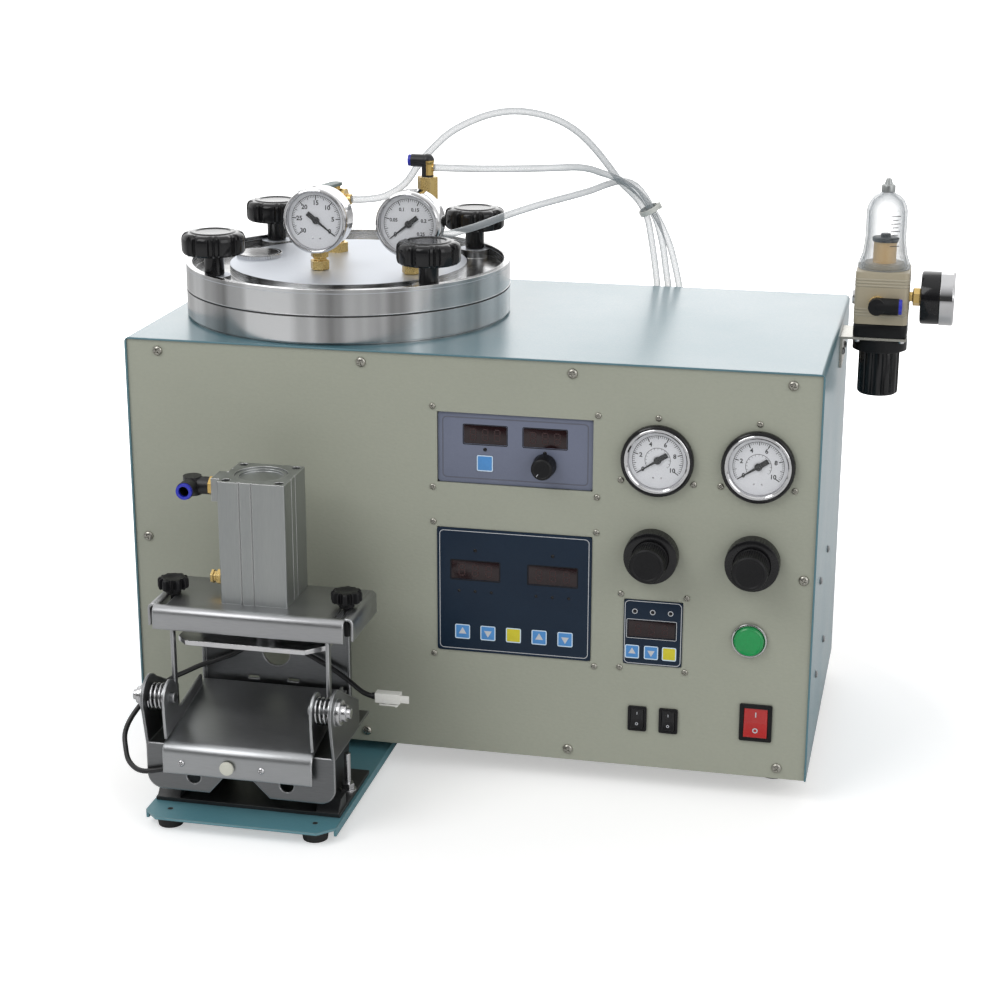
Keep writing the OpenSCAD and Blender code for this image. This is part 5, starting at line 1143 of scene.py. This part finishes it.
# ---- filter regulator on the right side ----
filterAxis = (581, 190)
inletElbow = (578, 161.25, 347)
ribs = [shift(frameLine("rib", 43.5, 43.5, 4.2, 0.9, 0), z=z) for z in (7, 9.5, 12, 31, 33.5, 36)]
for rib in ribs:
    edit(rib)
    bpy.ops.mesh.extrude_region_move(TRANSFORM_OT_translate={"value": (0, 0, 0.0011)})
    bpy.ops.mesh.select_all(action="SELECT")
    bpy.ops.mesh.normals_make_consistent(inside=False)
    objectMode()
gland = shift(turned("gland", [(15.5, 0), (16.4, 1), (16.4, 4.6), (15.8, 5)], 72), z=42.8)
filterShell = joined("filterShell", [block("filterBody", (43, 43, 43), corner=4, edge=0.8), gland] + ribs)
dress(settle(filterShell, (*filterAxis, 330)), "filterBody", "cabinet", "filter_body")
bonnet = settle(block("bonnet", (43, 43, 10.6), corner=6, edge=0.8), (*filterAxis, 319))
bonnetRing = turned("bonnetRing", [(19, -11), (22, -10.6), (22, -0.8), (21, 0), (15, 0)], 96)
filterBonnet = joined("filterBonnet", [bonnet, settle(bonnetRing, (*filterAxis, 317.2))])
dress(filterBonnet, "satinBlack", "cabinet", "filter_body")
boltOff = 17.5
boltRings = [(2.6, 0), (2.6, 1.8), (2.2, 2.3), (1.6, 2.4), (1.5, 1.2), (0.05, 1.2)]
bolts = [
    settle(turned("bolt", boltRings, 20), (filterAxis[0] + sx, filterAxis[1] + sy, 317.2), "down")
    for sx in (-boltOff, boltOff) for sy in (-boltOff, boltOff)]
blankRings = [(6, 0), (6, 2), (5.4, 2.5), (3, 2.5), (3, 1.2), (0.05, 1.2)]
bolts.append(settle(turned("blankPlug", blankRings, 48), (559.5, 190, 348), "left"))
dress(joined("filterBolts", bolts), "brightSteel", "cabinet")

bowlRings = [
    (20.8, 0), (21, 0.6), (21, 3.6), (20.2, 5), (17.9, 12), (16.8, 20), (16.4, 26), (16.4, 46), (15.6, 50.5),
    (13.4, 55), (10.4, 58.4), (7.4, 60), (4.6, 61.9), (3.4, 61.4), (6.6, 58.6), (11.8, 54), (14.4, 46), (14.4, 26),
    (15.9, 12), (18.6, 4.4), (18.6, 0.3), (20.8, 0)]
filterBowl = settle(turned("filterBowl", bowlRings, 96, hollow=True), (*filterAxis, 373))
dress(filterBowl, "clearBowl", "cabinet", "filter_bowl")
scaleMarks = []
for i in range(9):
    mark = shift(block("mark", (0.25, 5 if i % 2 else 8, 0.5), edge=0), 16.45, 0, 20 + i * 3)
    scaleMarks.append(settle(mark, (*filterAxis, 373), turn=-62))
dress(joined("bowlScale", scaleMarks), "dialInk", "cabinet")
feltRings = [(9.2, 0), (9.3, 0.4), (9.3, 29.6), (9.2, 30)]
lathed("filterFelt", feltRings, (*filterAxis, 365), "up", "filterFelt", "cabinet", "filter_element")
feltCapRings = [(10.3, -0.1), (10.5, 0.3), (10.5, 2.7), (10, 3), (4, 3), (4, 5.4), (3.6, 6), (0.05, 6)]
lathed("feltCap", feltCapRings, (*filterAxis, 395), "up", "satinBlack", "cabinet", "filter_element")
nutRings = [(3, 0), (3.9, 0.3), (3.9, 2), (3, 2.4)]
lathed("feltNut", nutRings, (*filterAxis, 398), "up", "satinBlack", "cabinet", sides=6, smooth=20)
drainRings = [(5, -6), (5.5, -5.6), (5.5, -1), (5, 0), (3.4, 0.5), (2.1, 4.4), (1.9, 5), (1.2, 5), (1.1, 3)]
drain = fluted(turned("drainKnob", drainRings, 72), 12, [1, 0.97, 0.92, 0.9], -5.5, -1.05, 4.8)
dress(settle(drain, (*filterAxis, 440.5)), "castAluminium", "bowl_drain", "drain_knob")
adjustRings = [
    (11, 0), (15.2, 0.4), (16.2, 1.4), (16.5, 3), (16.5, 35), (15.8, 36.6), (13, 37), (6, 37), (6, 45)]
adjustShares = [1, 1, 0.99, 0.965, 0.94, 0.93, 0.93]
adjust = fluted(turned("filterKnob", adjustRings, 144), 12, adjustShares, 2.8, 35.2, 14)
dress(settle(adjust, (*filterAxis, 269)), "glossBlack", "filter_adjuster", "filter_knob")
neckRings = [(7, 0), (7, 3), (6.75, 3.1), (6.75, 7.2)]
lathed("elbowNeck", neckRings, (578, 168.5, 347), "front", "brass", "cabinet", "filter_body", sides=48)
armRings = [
    (4.05, 8), (4.05, 17.4), (6.3, 17.5), (6.75, 17), (6.75, 2), (6.5, 0), (5.8, -3.2), (4.4, -5.2), (2.4, -6.4),
    (0.05, -6.75)]
arm = settle(turned("elbowArm", armRings, 48), inletElbow, "right")
stub = settle(turned("elbowStub", [(6.75, -6), (6.75, 2)], 48), inletElbow, "back")
dress(joined("filterElbow", [arm, stub]), "satinBlack", "cabinet", "filter_body")
sleeveRings = [(4.05, 17), (4.05, 20), (5.9, 20), (6.25, 19.6), (6.25, 17.4)]
lathed("elbowSleeve", sleeveRings, inletElbow, "right", "colletBlue", "cabinet", "filter_body", sides=48, hollow=True)
print("stage: filter regulator")

# ---- mould clamp ----
clampMiddle = 134
pivot = (-130, 81)
# pivot springs: turns of wire with a flat run at both ends
coilRadius, coilTurns, coilSteps, coilStart, coilRun = 9.9, 4, 28, 60.2, 11.35
helix = []
for i in range(coilTurns * coilSteps + 1):
    turns = i / coilSteps
    run = min(max((turns - 0.35) / 3.3, 0), 1)
    angle = 2 * math.pi * turns
    helix.append((coilRadius * math.cos(angle), coilRadius * math.sin(angle), coilStart + run * coilRun))
coils = [settle(tubeAlong("coil", helix, 0.9, 16), (clampMiddle, *pivot), way) for way in ("left", "right")]
dress(joined("pivotSprings", coils), "chrome", "carriage", "pivot_springs")

# tray: one sheet folded down in front, with a wall and an ear on each side
apron = bentSheet("trayApron", [(-52, 65), (-146, 48), (-146, 26)], 118, 2, 7.5)
earRadius = 14
wallLine = [(-141, 51), (-142.5, 60), (-143.5, 74)]
for step in range(13):
    turn = math.radians(200 - step * 18)
    wallLine.append((pivot[0] + earRadius * math.cos(turn), pivot[1] + earRadius * math.sin(turn)))
wallLine += [(-113, 67), (-106, 66), (-62, 73), (-61, 72), (-61, 63.5)]
walls = [settle(flatPlate("trayWall", wallLine, 2), (x, 0, 0), "right") for x in (76, 192)]
settle(apron, (clampMiddle, 0, 0), "right")
hollow = block("buttonGap", (6.4, 6.4, 12), corner=3, edge=0, steps=6)
cutAway(apron, [settle(hollow, (127, -141, 35.3), "front")])
dress(joined("trayBody", [apron] + walls), "traySteel", "mould_tray", "tray")
holder = block("buttonHolder", (20, 14, 6), corner=1, edge=0.4)
dress(settle(holder, (127, -138.9, 35.3), "front"), "satinBlack", "mould_tray", "tray")
buttonRings = [(3, -4.6), (3, 0), (5.3, 0), (5.5, 0.4), (5.5, 1.6), (5.1, 2.2), (4.2, 2.5), (0.05, 2.55)]
buttonCap = settle(turned("trayButtonCap", buttonRings, 48), (127, -148.45, 35.3), "front")
dress(buttonCap, "buttonCream", "mould_switch", "tray_button")

# top bracket: a sheet folded down in front and at both sides, slotted for the star knobs
roof = bentSheet("bracketRoof", [(-41, 146), (-113, 146), (-113, 129)], 151, 2, 6)
settle(roof, (clampMiddle, 0, 0), "right")
cheeks = []
for way in (-1, 1):
    cheek = bentSheet("bracketCheek", [(0, 0), (way * 5, 0), (way * 5, -17)], 66, 2, 4)
    cheeks.append(settle(cheek, (clampMiddle + way * 75.5, -74, 146), "front"))
    slot = shift(block("slot", (6, 35, 8), corner=2.9, edge=0), 0, 0, -4)
    cutAway(roof, [settle(slot, (clampMiddle + way * 69.5, -89.5, 146))])
strapLeft = bentSheet("strapLeft", [(-61.75, 145.4), (-61.75, 70.75), (-70, 70.75)], 6, 2.5, 4)
strapRight = bentSheet("strapRight", [(61.75, 145.4), (61.75, 81.75), (70, 81.75)], 6, 2.5, 3)
straps = [settle(strap, (clampMiddle, -107, 0), "front") for strap in (strapLeft, strapRight)]
dress(joined("topBracket", [roof] + cheeks + straps), "steelSheet", "carriage", "top_bracket")

# press plate: small chamfers on its left corners, large ones on its right corners
pressHead = block("pressPlate", (118, 55, 4), edge=0)
cornersBeyond = 0.0585
bevelUprights(pressHead, 9, 1, cornersBeyond, -1)
bevelUprights(pressHead, 14, 1, cornersBeyond)
dress(settle(soften(pressHead, 0.5), (clampMiddle, -84.5, 117)), "brightSteel", "press", "press_plate")
# the cylinder's lower fitting
lowRings = [
    (5, -1), (6.2, -0.6), (6.2, 3.6), (5.4, 4.2), (4.4, 4.3), (4.4, 6.4), (5.6, 6.6), (5.6, 8.6), (4.8, 9), (2.2, 9),
    (2.2, 7)]
lathed("lowFitting", lowRings, (100.5, -69.5, 159), "left", "brass", "carriage", sides=6, smooth=20)
rodRings = [(13, 0), (13, 4.4), (12.4, 5), (8, 5), (8, 60)]
lathed("pressRod", rodRings, (clampMiddle, -68.5, 121), "up", "brightSteel", "press", "press_plate")
print("stage: clamp")

# ---- solids kept as they are, with their finishes ----
patched = {
    "lid": ("turnedAluminium", [((0, 0, 368.8), (300, 300, 369.2), "discMatt")]),
    "lid_fittings": ("brass", [
        ((100, 60, 436.5), (212, 200, 470), "satinBlack"), ((180, 160, 440), (191.5, 180, 455), "colletBlue"),
        ((205, 160, 438), (214, 180, 450), "brass")]),
    "clamp_cylinder": ("castAluminium", [
        ((60, -110, 224), (96.5, -60, 250), "satinBlack"), ((60, -110, 224), (96.5, -95.5, 250), "colletBlue"),
        ((96.5, -90, 224), (100.5, -66, 250), "brass"), ((95, -78, 148), (107.5, -60, 167), "brass")]),
    "base_plate": ("basePaint", [((50, -170, -45), (220, 80, -10.2), "basePaint")]),
    "slide_plate": ("blackPaint", [
        ((60, -92, -4.7), (73, -72, 40), "brightSteel"), ((195, -92, -4.7), (208, -72, 40), "brightSteel")]),
    "clamp_frame": ("darkSteel", [
        ((40, -150, 60), (58.9, -115, 95), "brightSteel"), ((209.2, -150, 60), (230, -115, 95), "brightSteel")]),
}
kept = {
    "cover": "tealCoat", "front_panel": "panelPaint", "chassis": "backPaint", "rubber_feet": "rubber",
    "pot_heater": "darkSteel", "nozzle": "brass", "control_unit": "boardGreen", "air_valves": "brass",
    "forward_cylinder": "castAluminium", "filter_bracket": "zincPlate", "valve_lever": "leverCoat",
    "wax_pot": "turnedAluminium",
}
for node, (base, patches) in patched.items():
    kept[node] = node + "Finish"
    mats[node + "Finish"] = patchwork(node + "Finish", base, patches)
for obj in bpy.data.objects:
    if obj.name in kept and obj.type == "MESH":
        if not obj.material_slots:
            obj.data.materials.append(mats[kept[obj.name]])
            continue
        for slot in obj.material_slots:
            slot.link = "OBJECT"
            slot.material = mats[kept[obj.name]]
print("stage: finishes on the kept solids")
